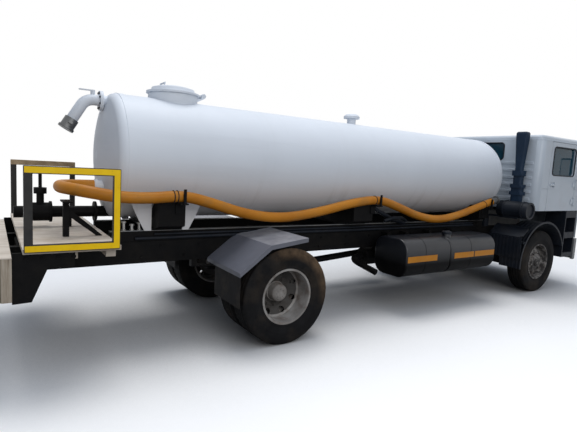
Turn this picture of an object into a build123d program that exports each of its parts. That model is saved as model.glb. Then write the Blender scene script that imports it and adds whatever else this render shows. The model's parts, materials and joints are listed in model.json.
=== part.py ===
from build123d import *
import math
import os

os.makedirs("parts", exist_ok=True)

# Driving sizes in millimetres. Stations run along +X from the rear axle towards the cab,
# +Y is the truck's left side and heights run up from the ground. On export everything
# moves so that the origin lies on the ground under the middle of the truck's length.
WHEELBASE = 5200
FACE_X = WHEELBASE + 1200
BUMPER_PROUD = 80
FRONT_END = FACE_X + BUMPER_PROUD
STEP_REAR = -2730
LAMP_T = 30
REAR_END = STEP_REAR - LAMP_T
X_MID = (REAR_END + FRONT_END) / 2

# Wheels.
TYRE_R = 525
TYRE_W = 280
TYRE_TREAD_W = 220
BEAD_W = 220
RIM_SEAT = 7
RIM_R = 292
RIM_WALL = 10
RIM_FLANGE = 12
RIM_FLANGE_T = 7
REAR_OUTER_FACE = 1230
FRONT_OUTER_FACE = 1150
DUAL_GAP = 35
DISC_T = 12
HUB_R = 105
STUD_RING_R = 190
HAND_HOLES = 8
HAND_HOLE_R = 33
DRUM_R = 205
SPINDLE_R = 45
SPINDLE_PLAY = 0.1
FRONT_Y = FRONT_OUTER_FACE - TYRE_W / 2
DUAL_Y = REAR_OUTER_FACE - TYRE_W - DUAL_GAP / 2

# Chassis frame.
RAIL_OUT = 430
RAIL_W = 75
RAIL_T = 10
RAIL_H = 230
RAIL_TOP = 1050
RAIL_FRONT = FRONT_END - 150
SUB_W = 80
SUB_H = 115
RAIL_BOTTOM = RAIL_TOP - RAIL_H
SUB_TOP = RAIL_TOP + SUB_H

# Cab.
CAB_LEN = 1550
CAB_REAR = FACE_X - CAB_LEN
CAB_HALF = 1180
CAB_LOW = 1400
CAB_WALL = 60
CAB_FLOOR_T = 50
ROOF_LOW = 2560
ROOF_TOP = 2650
QUARTER_LEN = 300
DOOR_LEN = 900
DOOR_REAR = CAB_REAR + QUARTER_LEN
DOOR_FRONT = DOOR_REAR + DOOR_LEN
DOOR_GAP = 6
WAIST_Z = 1900
SCREEN_TOP_X = FACE_X - 150
APRON_LOW = 900
CORNER_R = 110

# Tank: it runs up to the gap behind the cab. A weld band circles each end of the shell.
TANK_R = 650
TANK_Z = 1912
TANK_REAR = -1520
CAB_GAP = 210
TANK_FRONT = CAB_REAR - CAB_GAP
CROWN_R = 1950
KNUCKLE_R = 85
BAND_W = 60
BAND_T = 5
SUB_REAR = TANK_REAR - 120
SUB_FRONT = TANK_FRONT - 80

# Rear deck, guards and step.
DECK_REAR = -2425
DECK_FRONT = -1705
DECK_HALF = 1190
DECK_T = 40
DECK_TOP = 1165
GUARD_REAR = -2419
GUARD_FRONT = -1723
GUARD_LOW = 1144
GUARD_HIGH = 1804
GUARD_BAR = 60
GUARD_T = 40
STEP_FRONT = DECK_REAR - 70
STEP_HALF = DECK_HALF - 40
STEP_LOW = 750
STEP_TOP = 1088
TREAD_T = 12

# Hose along the right side: outside size, then the route's points from the tank's nozzle.
HOSE_OD = 115
HOSE_Y = -700
HOSE_Z0 = 1600
NOZZLE_Y = -150
NOZZLE_END = -1740
HOSE_ROUTE = [
    (NOZZLE_END, NOZZLE_Y, HOSE_Z0),
    (-1964, NOZZLE_Y, HOSE_Z0),
    (-2122, -425, 1604),
    (-1964, HOSE_Y, 1588),
    (-1640, HOSE_Y, 1530),
    (-1330, HOSE_Y, 1520),
    (-1000, HOSE_Y, 1552),
    (-700, HOSE_Y, 1480),
    (-250, HOSE_Y, 1345),
    (230, HOSE_Y, 1298),
    (760, HOSE_Y, 1370),
    (1250, HOSE_Y, 1478),
    (1740, HOSE_Y, 1535),
    (2130, HOSE_Y, 1425),
    (2550, HOSE_Y, 1288),
    (3000, HOSE_Y, 1225),
    (3480, HOSE_Y, 1290),
    (3950, HOSE_Y, 1415),
    (4330, HOSE_Y, 1507),
]


def box(x0, x1, y0, y1, z0, z1):
    """A block between two corners."""
    middle = Pos((x0 + x1) / 2, (y0 + y1) / 2, (z0 + z1) / 2)
    return middle * Box(abs(x1 - x0), abs(y1 - y0), abs(z1 - z0))


def rod_x(x0, x1, y, z, r):
    """A round bar along X."""
    return Pos((x0 + x1) / 2, y, z) * Rot(0, 90, 0) * Cylinder(r, abs(x1 - x0))


def rod_y(y0, y1, x, z, r):
    """A round bar along Y."""
    return Pos(x, (y0 + y1) / 2, z) * Rot(90, 0, 0) * Cylinder(r, abs(y1 - y0))


def rod_z(z0, z1, x, y, r):
    """An upright round bar."""
    return Pos(x, y, (z0 + z1) / 2) * Cylinder(r, abs(z1 - z0))


def side_prism(points, y0, y1):
    """An outline in X and Z, run from y0 to y1."""
    face = make_face(Polyline([(x, 0, z) for x, z in points], close=True))
    return Pos(0, min(y0, y1), 0) * extrude(face, abs(y1 - y0), dir=(0, 1, 0))


def cross_prism(points, x0, x1):
    """An outline in Y and Z, run from x0 to x1."""
    face = make_face(Polyline([(0, y, z) for y, z in points], close=True))
    return Pos(min(x0, x1), 0, 0) * extrude(face, abs(x1 - x0), dir=(1, 0, 0))


def plan_prism(points, z0, z1):
    """An outline in X and Y, run from z0 to z1."""
    face = make_face(Polyline([(x, y, 0) for x, y in points], close=True))
    return Pos(0, 0, z0) * extrude(face, z1 - z0, dir=(0, 0, 1))


def spin_y(points, x, z):
    """An outline of (y, radius) points turned about a line along Y."""
    face = make_face(Polyline([(0, y, r) for y, r in points], close=True))
    return Pos(x, 0, z) * revolve(face, Axis.Y)


def spin_z(points, x, y):
    """An outline of (radius, height) points turned about an upright line."""
    face = make_face(Polyline([(r, 0, z) for r, z in points], close=True))
    return Pos(x, y, 0) * revolve(face, Axis.Z)


def flip(shape):
    """The same piece on the other side of the truck."""
    return mirror(shape, about=Plane.XZ)


def pair(shape):
    """A piece and its twin on the other side."""
    return [shape, flip(shape)]


def tube(points, radii, r):
    """A round bar along straight runs joined by arcs."""
    path = FilletPolyline(*points, radius=radii)
    start = Plane(origin=path @ 0, z_dir=path % 0)
    return sweep(start * Circle(r), path=path)


def rounded_bar_x(x0, x1, y0, y1, z0, z1, r):
    """A bar along X whose section has rounded corners."""
    section = RectangleRounded(abs(y1 - y0), z1 - z0, r)
    plane = Plane(origin=(x0, (y0 + y1) / 2, (z0 + z1) / 2), x_dir=(0, 1, 0), z_dir=(1, 0, 0))
    return extrude(plane * section, x1 - x0)


def save(name, *shapes):
    """Write one node, moved to the truck's own origin."""
    solids = []
    for shape in shapes:
        solids.extend(shape.solids())
    moved = [Pos(-X_MID, 0, 0) * solid for solid in solids]
    export_step(Compound(children=moved), "parts/" + name + ".step")


# Frame rails: channels that open inwards, with square cross members between the webs.
MEMBER_HALF = 45
MEMBER_UP = 60
MEMBER_DOWN = 30
CROSS_MEMBERS = [STEP_FRONT + 115, TANK_REAR + 270, 700, 1900, WHEELBASE - 1900, RAIL_FRONT - 150]


def frame_rails():
    y0, y1 = RAIL_OUT - RAIL_W, RAIL_OUT
    z0, z1, t = RAIL_BOTTOM, RAIL_TOP, RAIL_T
    channel = [
        (y0, z0), (y1, z0), (y1, z1), (y0, z1),
        (y0, z1 - t), (y1 - t, z1 - t), (y1 - t, z0 + t), (y0, z0 + t),
    ]
    frame = cross_prism(channel, STEP_FRONT, RAIL_FRONT)
    frame = frame + flip(frame)
    web = RAIL_OUT - RAIL_T
    for x in CROSS_MEMBERS:
        frame = frame + box(x - MEMBER_HALF, x + MEMBER_HALF, -web, web, z0 + MEMBER_UP, z1 - MEMBER_DOWN)
    return frame


def subframe():
    runner = box(SUB_REAR, SUB_FRONT, RAIL_OUT - SUB_W, RAIL_OUT, RAIL_TOP, SUB_TOP)
    return pair(runner)


# Tank: one outline turned about its long axis, a crown arc and a knuckle arc at each end.
def head_depth():
    run = (CROWN_R - KNUCKLE_R) ** 2 - (TANK_R - KNUCKLE_R) ** 2
    return CROWN_R - math.sqrt(run)


def head_edges(tangent_x, outward):
    depth = head_depth()
    apex = tangent_x + outward * depth
    crown_x = apex - outward * CROWN_R
    knuckle_r = TANK_R - KNUCKLE_R
    reach = math.hypot(tangent_x - crown_x, knuckle_r)
    ux, ur = (tangent_x - crown_x) / reach, knuckle_r / reach
    meet = (crown_x + ux * CROWN_R, ur * CROWN_R)
    half = math.atan2(meet[1], abs(meet[0] - crown_x)) / 2
    mid = (crown_x + outward * CROWN_R * math.cos(half), CROWN_R * math.sin(half))
    turn = math.atan2(ur, abs(ux))
    turn = (turn + math.pi / 2) / 2
    bend = (tangent_x + outward * KNUCKLE_R * math.cos(turn), knuckle_r + KNUCKLE_R * math.sin(turn))
    points = [(apex, 0), mid, meet, bend, (tangent_x, TANK_R)]
    at = [(x, 0, TANK_Z + r) for x, r in points]
    return ThreePointArc(at[0], at[1], at[2]), ThreePointArc(at[2], at[3], at[4])


def tank_body():
    rear = head_edges(TANK_REAR, -1)
    front = head_edges(TANK_FRONT, 1)
    depth = head_depth()
    shell = Line((TANK_REAR, 0, TANK_Z + TANK_R), (TANK_FRONT, 0, TANK_Z + TANK_R))
    axis = Line((TANK_FRONT + depth, 0, TANK_Z), (TANK_REAR - depth, 0, TANK_Z))
    face = make_face([*rear, shell, *front, axis])
    body = revolve(face, Axis((0, 0, TANK_Z), (1, 0, 0)))
    for x in (TANK_REAR, TANK_FRONT - BAND_W):
        body = body + rod_x(x, x + BAND_W, 0, TANK_Z, TANK_R + BAND_T)
    return body


TANK = tank_body()
HEAD = head_depth()

# Saddles: columns are the middle station, half width, outer top height, the hose hook's
# place forward of the middle and the height of the hose's underside there.
SADDLES = [
    (TANK_REAR + 445, 140, 1470, 75, 1474),
    (1560, 170, 1440, 160, 1450),
    (TANK_FRONT - 350, 130, 1430, -40, 1410),
]
SADDLE_HALF = 620
SADDLE_TOE = 60
FOOT_T = 16
FOOT_PROUD = 25
HOOK_T = 14
HOOK_W = 90
HOOK_DROP = 120
PEG_W = 30
PEG_RISE = 30
PEG_GAP = 8


def saddle(x, half, top):
    toe = SUB_TOP + SADDLE_TOE
    outline = [
        (-RAIL_OUT, SUB_TOP), (RAIL_OUT, SUB_TOP), (SADDLE_HALF, toe),
        (SADDLE_HALF, top), (-SADDLE_HALF, top), (-SADDLE_HALF, toe),
    ]
    reach = RAIL_OUT + FOOT_PROUD
    foot = box(x - half - FOOT_PROUD, x + half + FOOT_PROUD, -reach, reach, SUB_TOP, SUB_TOP + FOOT_T)
    return cross_prism(outline, x - half, x + half) + foot - TANK


def hose_hook(x, seat):
    outer = HOSE_Y - HOSE_OD / 2 - PEG_GAP
    x0, x1 = x - HOOK_W / 2, x + HOOK_W / 2
    shelf = box(x0, x1, outer, -SADDLE_HALF, seat - HOOK_T, seat)
    brace = box(x0, x1, -SADDLE_HALF - HOOK_T, -SADDLE_HALF, seat - HOOK_DROP, seat)
    peg = box(x - PEG_W / 2, x + PEG_W / 2, outer - HOOK_T, outer, seat - HOOK_T, seat + HOSE_OD + PEG_RISE)
    return shelf + brace + peg


def saddles():
    made = []
    for x, half, top, hook, seat in SADDLES:
        made.append(saddle(x, half, top) + hose_hook(x + hook, seat))
    return made


# Gussets: white plates welded to the tank's belly, fore and aft of the rear saddle.
GUSSET_Y = 455
GUSSET_T = 12
GUSSET_LEN = 215
GUSSET_TOE = 70
GUSSET_FIT = 0.3


def gusset(way):
    """A plate that sweeps from the saddle's foot up to the tank, behind it or ahead of it."""
    x, half, top = SADDLES[0][:3]
    near = x + way * (half + FOOT_PROUD + GUSSET_FIT)
    far = near + way * GUSSET_LEN
    low = SUB_TOP + GUSSET_FIT
    tip = (near + way * GUSSET_TOE, 0, low)
    waist = (near + way * GUSSET_LEN * 0.55, 0, low + (top - low) * 0.3)
    edges = [
        Line((near, 0, top), (near, 0, low)), Line((near, 0, low), tip),
        ThreePointArc(tip, waist, (far, 0, top)), Line((far, 0, top), (near, 0, top)),
    ]
    plate = extrude(make_face(edges), GUSSET_T, dir=(0, 1, 0))
    return Pos(0, GUSSET_Y, 0) * plate - TANK


def gussets():
    plates = [gusset(-1), gusset(1)]
    return plates + [flip(plate) for plate in plates]


# Manhole: a neck welded to the tank top, a domed lid on a hinge at its front edge.
MANHOLE_X = -890
MANHOLE_R = 270
MANHOLE_WALL = 12
MANHOLE_TOP = 2626
LID_R = 290
LID_T = 22
LID_DOME = 100
LID_GAP = 0.5
LID_PIN_X = MANHOLE_X + 345
LID_PIN_R = 12
LID_PIN_Z = MANHOLE_TOP + 26
PIN_PLAY = 0.1
MANHOLE_FLOOR = TANK_Z + TANK_R + 4
EAR_R = 26
EAR_T = 20
EAR_Y = 50
GRIP_X = MANHOLE_X - 120
GRIP_HALF = 80
GRIP_R = 9
GRIP_RISE = 14


def manhole_neck():
    ring = rod_z(TANK_Z, MANHOLE_TOP, MANHOLE_X, 0, MANHOLE_R)
    hollow = rod_z(MANHOLE_FLOOR, MANHOLE_TOP + LID_T, MANHOLE_X, 0, MANHOLE_R - MANHOLE_WALL)
    neck = ring - hollow
    base = MANHOLE_X + MANHOLE_R - 2 * MANHOLE_WALL
    r = EAR_R
    ear = [
        (base, MANHOLE_TOP - 60), (LID_PIN_X + 0.4 * r, LID_PIN_Z - r), (LID_PIN_X + r, LID_PIN_Z),
        (LID_PIN_X + 0.4 * r, LID_PIN_Z + r), (LID_PIN_X - 0.85 * r, LID_PIN_Z + 0.8 * r),
        (LID_PIN_X - 1.15 * r, MANHOLE_TOP - EAR_T / 2), (base, MANHOLE_TOP - EAR_T / 2),
    ]
    for side in (-1, 1):
        neck = neck + side_prism(ear, side * EAR_Y, side * (EAR_Y + EAR_T))
    reach = EAR_Y + EAR_T + 10
    neck = neck - rod_y(-reach, reach, LID_PIN_X, LID_PIN_Z, LID_PIN_R + PIN_PLAY)
    return neck - TANK


def manhole_lid():
    """A flanged dome with a strap to its hinge, a cross clamp over the crown and a bar to lift it."""
    z0 = MANHOLE_TOP + LID_GAP
    top = z0 + LID_DOME
    shoulder = (MANHOLE_X + LID_R - 60, 0, z0 + LID_T + 45)
    crown = (MANHOLE_X, 0, top)
    rim = Polyline([
        (MANHOLE_X, 0, top), (MANHOLE_X, 0, z0), (MANHOLE_X + LID_R, 0, z0), (MANHOLE_X + LID_R, 0, z0 + LID_T),
        (MANHOLE_X + LID_R - 40, 0, z0 + LID_T), shoulder,
    ])
    dome = ThreePointArc(shoulder, (MANHOLE_X + LID_R / 2, 0, top - 12), crown)
    lid = revolve(make_face([*rim.edges(), dome]), Axis((MANHOLE_X, 0, 0), (0, 0, 1)))
    strap_half = EAR_Y - 15
    arm = box(MANHOLE_X + LID_R - 40, LID_PIN_X, -strap_half, strap_half, LID_PIN_Z - 10, LID_PIN_Z + 10)
    eye = rod_y(5 - EAR_Y, EAR_Y - 5, LID_PIN_X, LID_PIN_Z, LID_PIN_R + 12)
    pin = rod_y(2 - EAR_Y - EAR_T, EAR_Y + EAR_T - 2, LID_PIN_X, LID_PIN_Z, LID_PIN_R)
    grip = rod_y(-GRIP_HALF, GRIP_HALF, GRIP_X, top + GRIP_RISE, GRIP_R)
    for y in (2 * GRIP_R - GRIP_HALF, GRIP_HALF - 2 * GRIP_R):
        grip = grip + rod_z(z0 + LID_T, top + GRIP_RISE, GRIP_X, y, GRIP_R)
    return lid + arm + eye + pin + grip


VENT_X = 1768
VENT_R = 62
VENT_CAP_R = 115
VENT_CAP_Z = 2640
VENT_RIM = 32
VENT_TOP = VENT_CAP_Z + 67


def tank_vent():
    outline = [
        (0, TANK_Z), (VENT_R, TANK_Z), (VENT_R, VENT_CAP_Z), (VENT_CAP_R, VENT_CAP_Z),
        (VENT_CAP_R, VENT_CAP_Z + VENT_RIM), (VENT_CAP_R - VENT_RIM, VENT_TOP - 8),
        (VENT_R - 20, VENT_TOP), (0, VENT_TOP),
    ]
    return spin_z(outline, VENT_X, 0) - TANK


# Filling elbow high on the rear head, its valve and its hose coupling.
FILL_R = 55
FILL_Z = 2470
FILL_BEND = (TANK_REAR - 280, 0, FILL_Z)
FILL_END = (TANK_REAR - 405, 0, FILL_Z - 212)
FILL_RADIUS = 130
COUPLING_R = 68
COUPLING_LEN = 95
COUPLING_LIP = 25
FILL_FLANGE_R = 100
FILL_FLANGE_X = TANK_REAR - 152
FLANGE_T = 22


def fill_elbow():
    """The pipe from the tank's head, a flange pair and a lever valve just behind it."""
    pipe = tube([(TANK_REAR, 0, FILL_Z), FILL_BEND, FILL_END], FILL_RADIUS, FILL_R)
    x0 = FILL_FLANGE_X
    pipe = pipe + rod_x(x0, x0 + 1.5 * FLANGE_T, 0, FILL_Z, FILL_FLANGE_R)
    stem = rod_z(FILL_Z, FILL_Z + FILL_R + 45, x0 - 60, 0, 22)
    lever = box(x0 - 190, x0 - 45, -14, 14, FILL_Z + FILL_R + 33, FILL_Z + FILL_R + 45)
    return pipe + stem + lever - TANK


def along(start, end):
    """The unit direction from one point to another."""
    return (Vector(*end) - Vector(*start)).normalized()


def fill_coupling():
    way = along(FILL_BEND, FILL_END)
    plane = Plane(origin=FILL_END, z_dir=way)
    body = extrude(plane * Circle(COUPLING_R), COUPLING_LEN)
    lip = extrude(plane.offset(COUPLING_LEN) * Circle(COUPLING_R + 10), COUPLING_LIP)
    ears = plane.offset(COUPLING_LEN / 2) * Box(40, 2 * COUPLING_R + 70, 22)
    return body + lip + ears


# Discharge pipe low on the rear head, with a flange, a lever valve and a foot on the deck.
DRAIN_Z = 1319
DRAIN_R = 57
DRAIN_END = -2440
DRAIN_FLANGE_R = 105
DRAIN_FOOT_X = DECK_FRONT - 255
VALVE_X = DECK_REAR + 215
VALVE_R = 92
VALVE_HALF = 79
VALVE_TOP = 1560
STEM_R = 34
BONNET_R = 58
BONNET_H = 60
LEVER_TOP = 1745
LEVER_R = 16
LEVER_HALF = 70


def discharge_pipe():
    pipe = rod_x(DRAIN_END, TANK_REAR, 0, DRAIN_Z, DRAIN_R)
    flanges = [TANK_REAR - HEAD - FLANGE_T, VALVE_X + VALVE_HALF, VALVE_X - VALVE_HALF - FLANGE_T]
    for x in flanges:
        pipe = pipe + rod_x(x, x + FLANGE_T, 0, DRAIN_Z, DRAIN_FLANGE_R)
    foot = box(DRAIN_FOOT_X - 30, DRAIN_FOOT_X + 30, -40, 40, DECK_TOP, DRAIN_Z)
    return pipe + foot - TANK


def discharge_valve():
    """A gate valve: a round body, its stem under a bonnet and a cross lever on top."""
    body = rod_x(VALVE_X - VALVE_HALF, VALVE_X + VALVE_HALF, 0, DRAIN_Z, VALVE_R)
    stem = rod_z(DRAIN_Z, VALVE_TOP, VALVE_X, 0, STEM_R)
    bonnet = rod_z(VALVE_TOP - BONNET_H, VALVE_TOP, VALVE_X, 0, BONNET_R)
    lever = rod_z(VALVE_TOP, LEVER_TOP, VALVE_X, 0, LEVER_R)
    handle = rod_x(VALVE_X - LEVER_HALF, VALVE_X + LEVER_HALF, 0, LEVER_TOP - LEVER_R, LEVER_R)
    return body + stem + bonnet + lever + handle


def hose_nozzle():
    stub = rod_x(NOZZLE_END, TANK_REAR, NOZZLE_Y, HOSE_Z0, HOSE_OD / 2)
    ring = rod_x(NOZZLE_END + 8, NOZZLE_END + 8 + FLANGE_T, NOZZLE_Y, HOSE_Z0, HOSE_OD / 2 + 12)
    return stub + ring - TANK


# Rear deck on its bearers, guard frames at both sides.
BEARER_W = 80
BEARER_REACH = DECK_HALF - 110


def deck():
    plate = box(DECK_REAR, DECK_FRONT, -DECK_HALF, DECK_HALF, DECK_TOP - DECK_T, DECK_TOP)
    for x in (DECK_REAR + 60, (DECK_REAR + DECK_FRONT) / 2, DECK_FRONT - 60):
        x0, x1 = x - BEARER_W / 2, x + BEARER_W / 2
        plate = plate + box(x0, x1, -BEARER_REACH, BEARER_REACH, RAIL_TOP, DECK_TOP - DECK_T)
    return plate


def guard():
    y0, y1 = -DECK_HALF - GUARD_T, -DECK_HALF
    frame = box(GUARD_REAR, GUARD_FRONT, y0, y1, GUARD_LOW, GUARD_HIGH)
    b = GUARD_BAR
    return frame - box(GUARD_REAR + b, GUARD_FRONT - b, y0 - 1, y1 + 1, GUARD_LOW + b, GUARD_HIGH - b)


STEP_BOARDS = 3
GROOVE_W = 6
GROOVE_D = 8


def rear_step():
    """Planks bolted round a beam: grooves mark where they meet."""
    beam = box(STEP_REAR, STEP_FRONT, -STEP_HALF, STEP_HALF, STEP_LOW, STEP_TOP)
    board = (STEP_TOP - STEP_LOW) / STEP_BOARDS
    for i in range(1, STEP_BOARDS):
        z = STEP_LOW + i * board
        beam = beam - box(STEP_REAR, STEP_REAR + GROOVE_D, -STEP_HALF, STEP_HALF, z, z + GROOVE_W)
    x = (STEP_REAR + STEP_FRONT) / 2 + 40
    for side in (-1, 1):
        y0, y1 = side * (STEP_HALF - GROOVE_D), side * STEP_HALF
        beam = beam - box(x, x + GROOVE_W, y0, y1, STEP_LOW, STEP_TOP)
    return beam


def step_tread():
    return box(STEP_REAR, STEP_FRONT, -STEP_HALF, STEP_HALF, STEP_TOP, STEP_TOP + TREAD_T)


BRACKET_T = 18
BRACKET_Y = BEARER_REACH + 11
BRACKET_LEN = 445
BRACKET_TOE = 135
BRACKET_ARM = 130


def drop_bracket():
    """A black plate under the deck's edge that drops to the step."""
    z = DECK_TOP - DECK_T
    x = STEP_FRONT
    outline = [
        (x, STEP_LOW - 30), (x + BRACKET_TOE, STEP_LOW - 25), (x + 250, z - BRACKET_ARM),
        (x + BRACKET_LEN, z - BRACKET_ARM), (x + BRACKET_LEN, z), (x, z),
    ]
    return side_prism(outline, -BRACKET_Y, -BRACKET_Y - BRACKET_T)


LAMP_W = 260
LAMP_H = 110
LAMP_Y = STEP_HALF - 190
LAMP_Z = STEP_LOW + 150
LAMP_R = 18


def tail_lamp():
    y0 = -LAMP_Y - LAMP_W / 2
    body = box(REAR_END, STEP_REAR, y0, y0 + LAMP_W, LAMP_Z - LAMP_H / 2, LAMP_Z + LAMP_H / 2)
    return fillet(body.edges().filter_by(Axis.X), LAMP_R)


# Wheels.
def tyre(y):
    """A closed casing: flat tread, rounded shoulders, bulged walls and beads on the rim."""
    w, t, b = TYRE_W / 2, TYRE_TREAD_W / 2, BEAD_W / 2
    side = [(t, TYRE_R), (w - 12, TYRE_R - 22), (w, TYRE_R - 105), (w - 10, TYRE_R - 175), (b, RIM_R)]
    points = side + [(-a, r) for a, r in reversed(side)]
    return Pos(0, y, 0) * spin_y(points, 0, TYRE_R)


def rim_barrel(y):
    edge = BEAD_W / 2 + RIM_SEAT
    r0, r1, lip = RIM_R - RIM_WALL, RIM_R, RIM_R + RIM_FLANGE
    e1 = edge + RIM_FLANGE_T
    points = [
        (-e1, r0), (-e1, lip), (-edge, lip), (-edge, r1), (edge, r1), (edge, lip), (e1, lip), (e1, r0),
    ]
    return Pos(0, y, 0) * spin_y(points, 0, TYRE_R)


def disc(y_hub, y_rim):
    """A dished disc whose flat middle is at y_hub and whose edge meets the barrel at y_rim."""
    way = 1 if y_rim > y_hub else -1
    t = DISC_T * way
    r = RIM_R - RIM_WALL + 1
    points = [
        (y_hub, SPINDLE_R + 10), (y_hub, STUD_RING_R), (y_rim - t, r), (y_rim, r),
        (y_hub + t, STUD_RING_R - 12), (y_hub + t, SPINDLE_R + 10),
    ]
    return spin_y(points, 0, TYRE_R)


def hand_holes(y0, y1, ring_r):
    cuts = []
    for i in range(HAND_HOLES):
        a = 2 * math.pi * (i + 0.5) / HAND_HOLES
        cuts.append(rod_y(y0, y1, ring_r * math.cos(a), TYRE_R + ring_r * math.sin(a), HAND_HOLE_R))
    return cuts


def wheel_bore(y_in, y_end):
    return rod_y(y_in, y_end, 0, TYRE_R, SPINDLE_R + SPINDLE_PLAY)


DISC_DISH = 75
HUB_OUT = 150
DRUM_LEN = 230
BORE_LEN = 180
HOLE_RING = 234


def rear_rim():
    """Both discs of the twin wheels bolted to one hub and brake drum, on the left."""
    near, far = TYRE_W / 2 + DUAL_GAP / 2, -TYRE_W / 2 - DUAL_GAP / 2
    wheel = rim_barrel(near) + rim_barrel(far) + disc(0, DISC_DISH) + disc(0, -DISC_DISH)
    hub = [
        (-DRUM_LEN, 0), (-DRUM_LEN, DRUM_R), (-60, DRUM_R), (-40, HUB_R + 20), (30, HUB_R + 20),
        (40, HUB_R), (HUB_OUT - 25, HUB_R - 12), (HUB_OUT, HUB_R - 40), (HUB_OUT, 0),
    ]
    wheel = wheel + spin_y(hub, 0, TYRE_R)
    wheel = wheel - hand_holes(-120, 120, HOLE_RING)
    wheel = wheel - wheel_bore(-DRUM_LEN - 1, -DRUM_LEN + BORE_LEN)
    return Pos(0, DUAL_Y, 0) * wheel


FRONT_HUB_OUT = 135
FRONT_DRUM_IN = -80
FRONT_DISC_Y = 70


def front_rim():
    wheel = rim_barrel(0) + disc(FRONT_DISC_Y, FRONT_DISC_Y - DISC_DISH)
    hub = [
        (FRONT_DRUM_IN, 0), (FRONT_DRUM_IN, DRUM_R), (20, DRUM_R), (40, HUB_R + 20), (90, HUB_R + 20),
        (95, HUB_R - 15), (FRONT_HUB_OUT - 15, HUB_R - 25), (FRONT_HUB_OUT, HUB_R - 45), (FRONT_HUB_OUT, 0),
    ]
    wheel = wheel + spin_y(hub, 0, TYRE_R)
    wheel = wheel - hand_holes(-40, 120, HOLE_RING)
    wheel = wheel - wheel_bore(FRONT_DRUM_IN - 1, FRONT_DRUM_IN + BORE_LEN)
    return Pos(WHEELBASE, FRONT_Y, 0) * wheel


# Rear axle: a banjo case with a nose for the shaft and spindles that run in the hubs.
AXLE_R = 68
BANJO_R = 200
NOSE_R = 105
NOSE_X = 340
SPRING_Y = RAIL_OUT - RAIL_W / 2
SPRING_W = 76
AXLE_END = DUAL_Y - DRUM_LEN - 8


def rear_axle():
    case = rod_y(-AXLE_END, AXLE_END, 0, TYRE_R, AXLE_R)
    reach = AXLE_END + 8 + BORE_LEN - 10
    case = case + rod_y(-reach, reach, 0, TYRE_R, SPINDLE_R)
    banjo = [(-170, AXLE_R - 5), (-110, 150), (-60, BANJO_R), (60, BANJO_R), (110, 150), (170, AXLE_R - 5)]
    case = case + spin_y(banjo + [(170, 0), (-170, 0)], 0, TYRE_R)
    case = case + rod_x(0, NOSE_X, 0, TYRE_R, NOSE_R)
    for side in (-1, 1):
        y = side * SPRING_Y
        case = case + box(-75, 75, y - SPRING_W / 2, y + SPRING_W / 2, TYRE_R, REAR_PACK_LOW)
    return case


# Leaf springs: leaves on one centre, each shorter than the one above, and a hanger at each end.
LEAF_T = 13
LEAF_ARC = 3200
HANGER_W = 70
REAR_LEAVES = [760, 690, 590, 480, 370, 260]
FRONT_LEAVES = [700, 600, 480, 350, 230]
REAR_EYE_Z = 780
FRONT_EYE_Z = 740


def leaf_top(half, eye_z):
    """Height of the top leaf's upper face at the middle of the spring."""
    return eye_z - (LEAF_ARC - math.sqrt(LEAF_ARC ** 2 - half ** 2))


def pack_low(leaves, eye_z):
    return leaf_top(leaves[0], eye_z) - LEAF_T * len(leaves)


REAR_PACK_LOW = pack_low(REAR_LEAVES, REAR_EYE_Z)
FRONT_PACK_LOW = pack_low(FRONT_LEAVES, FRONT_EYE_Z)


def leaf_pack(x, leaves, eye_z):
    centre_z = leaf_top(leaves[0], eye_z) + LEAF_ARC
    y0 = SPRING_Y - SPRING_W / 2
    pack = None
    for i, half in enumerate(leaves):
        r0, r1 = LEAF_ARC + i * LEAF_T, LEAF_ARC + (i + 1) * LEAF_T
        a = math.asin(half / r0)
        ends = [(s * r * math.sin(a), centre_z - r * math.cos(a)) for r in (r0, r1) for s in (-1, 1)]
        top = ThreePointArc((ends[0][0], 0, ends[0][1]), (0, 0, centre_z - r0), (ends[1][0], 0, ends[1][1]))
        low = ThreePointArc((ends[3][0], 0, ends[3][1]), (0, 0, centre_z - r1), (ends[2][0], 0, ends[2][1]))
        sides = [Line(top @ 1, low @ 0), Line(low @ 1, top @ 0)]
        leaf = extrude(make_face([top, sides[0], low, sides[1]]), SPRING_W, dir=(0, 1, 0))
        pack = leaf if pack is None else pack + leaf
    for side in (-1, 1):
        end = side * (leaves[0] - 20)
        hanger = box(end - HANGER_W / 2, end + HANGER_W / 2, 0, SPRING_W, eye_z - 40, RAIL_BOTTOM)
        pack = pack + hanger
    return Pos(x, y0, 0) * pack


# Front axle: a dropped beam, and knuckles that turn on king pins.
KING_Y = 845
KING_R = 26
EYE_R = 52
EYE_HALF = 62
LUG_GAP = 5
LUG_T = 40
BEAM_X = 55
BEAM_DROP = 115
BEAM_H = 90
STUB_ROOT_Y = 905
ARM_LEN = 190


def front_axle():
    z = TYRE_R
    half = BEAM_H / 2
    end = KING_Y
    rise = 560
    outline = [
        (-end, z - half), (-rise, z - half), (-rise + 90, z - half - BEAM_DROP),
        (rise - 90, z - half - BEAM_DROP), (rise, z - half), (end, z - half),
        (end, z + half), (rise - 20, z + half), (rise - 110, z + half - BEAM_DROP),
        (110 - rise, z + half - BEAM_DROP), (20 - rise, z + half), (-end, z + half),
    ]
    beam = Pos(WHEELBASE, 0, 0) * cross_prism(outline, -BEAM_X, BEAM_X)
    for side in (-1, 1):
        y = side * KING_Y
        beam = beam + rod_z(z - EYE_HALF, z + EYE_HALF, WHEELBASE, y, EYE_R)
        seat_y = side * SPRING_Y
        seat = box(WHEELBASE - 70, WHEELBASE + 70, seat_y - SPRING_W / 2, seat_y + SPRING_W / 2,
                   z + half - BEAM_DROP - 20, FRONT_PACK_LOW)
        beam = beam + seat
    for side in (-1, 1):
        y = side * KING_Y
        beam = beam - rod_z(z - 200, z + 200, WHEELBASE, y, KING_R + PIN_PLAY)
        keep = EYE_R + LUG_GAP
        beam = beam - box(WHEELBASE - 90, WHEELBASE + 90, y + side * keep, y + side * 200, z - 200, z + 200)
    return beam


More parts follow.
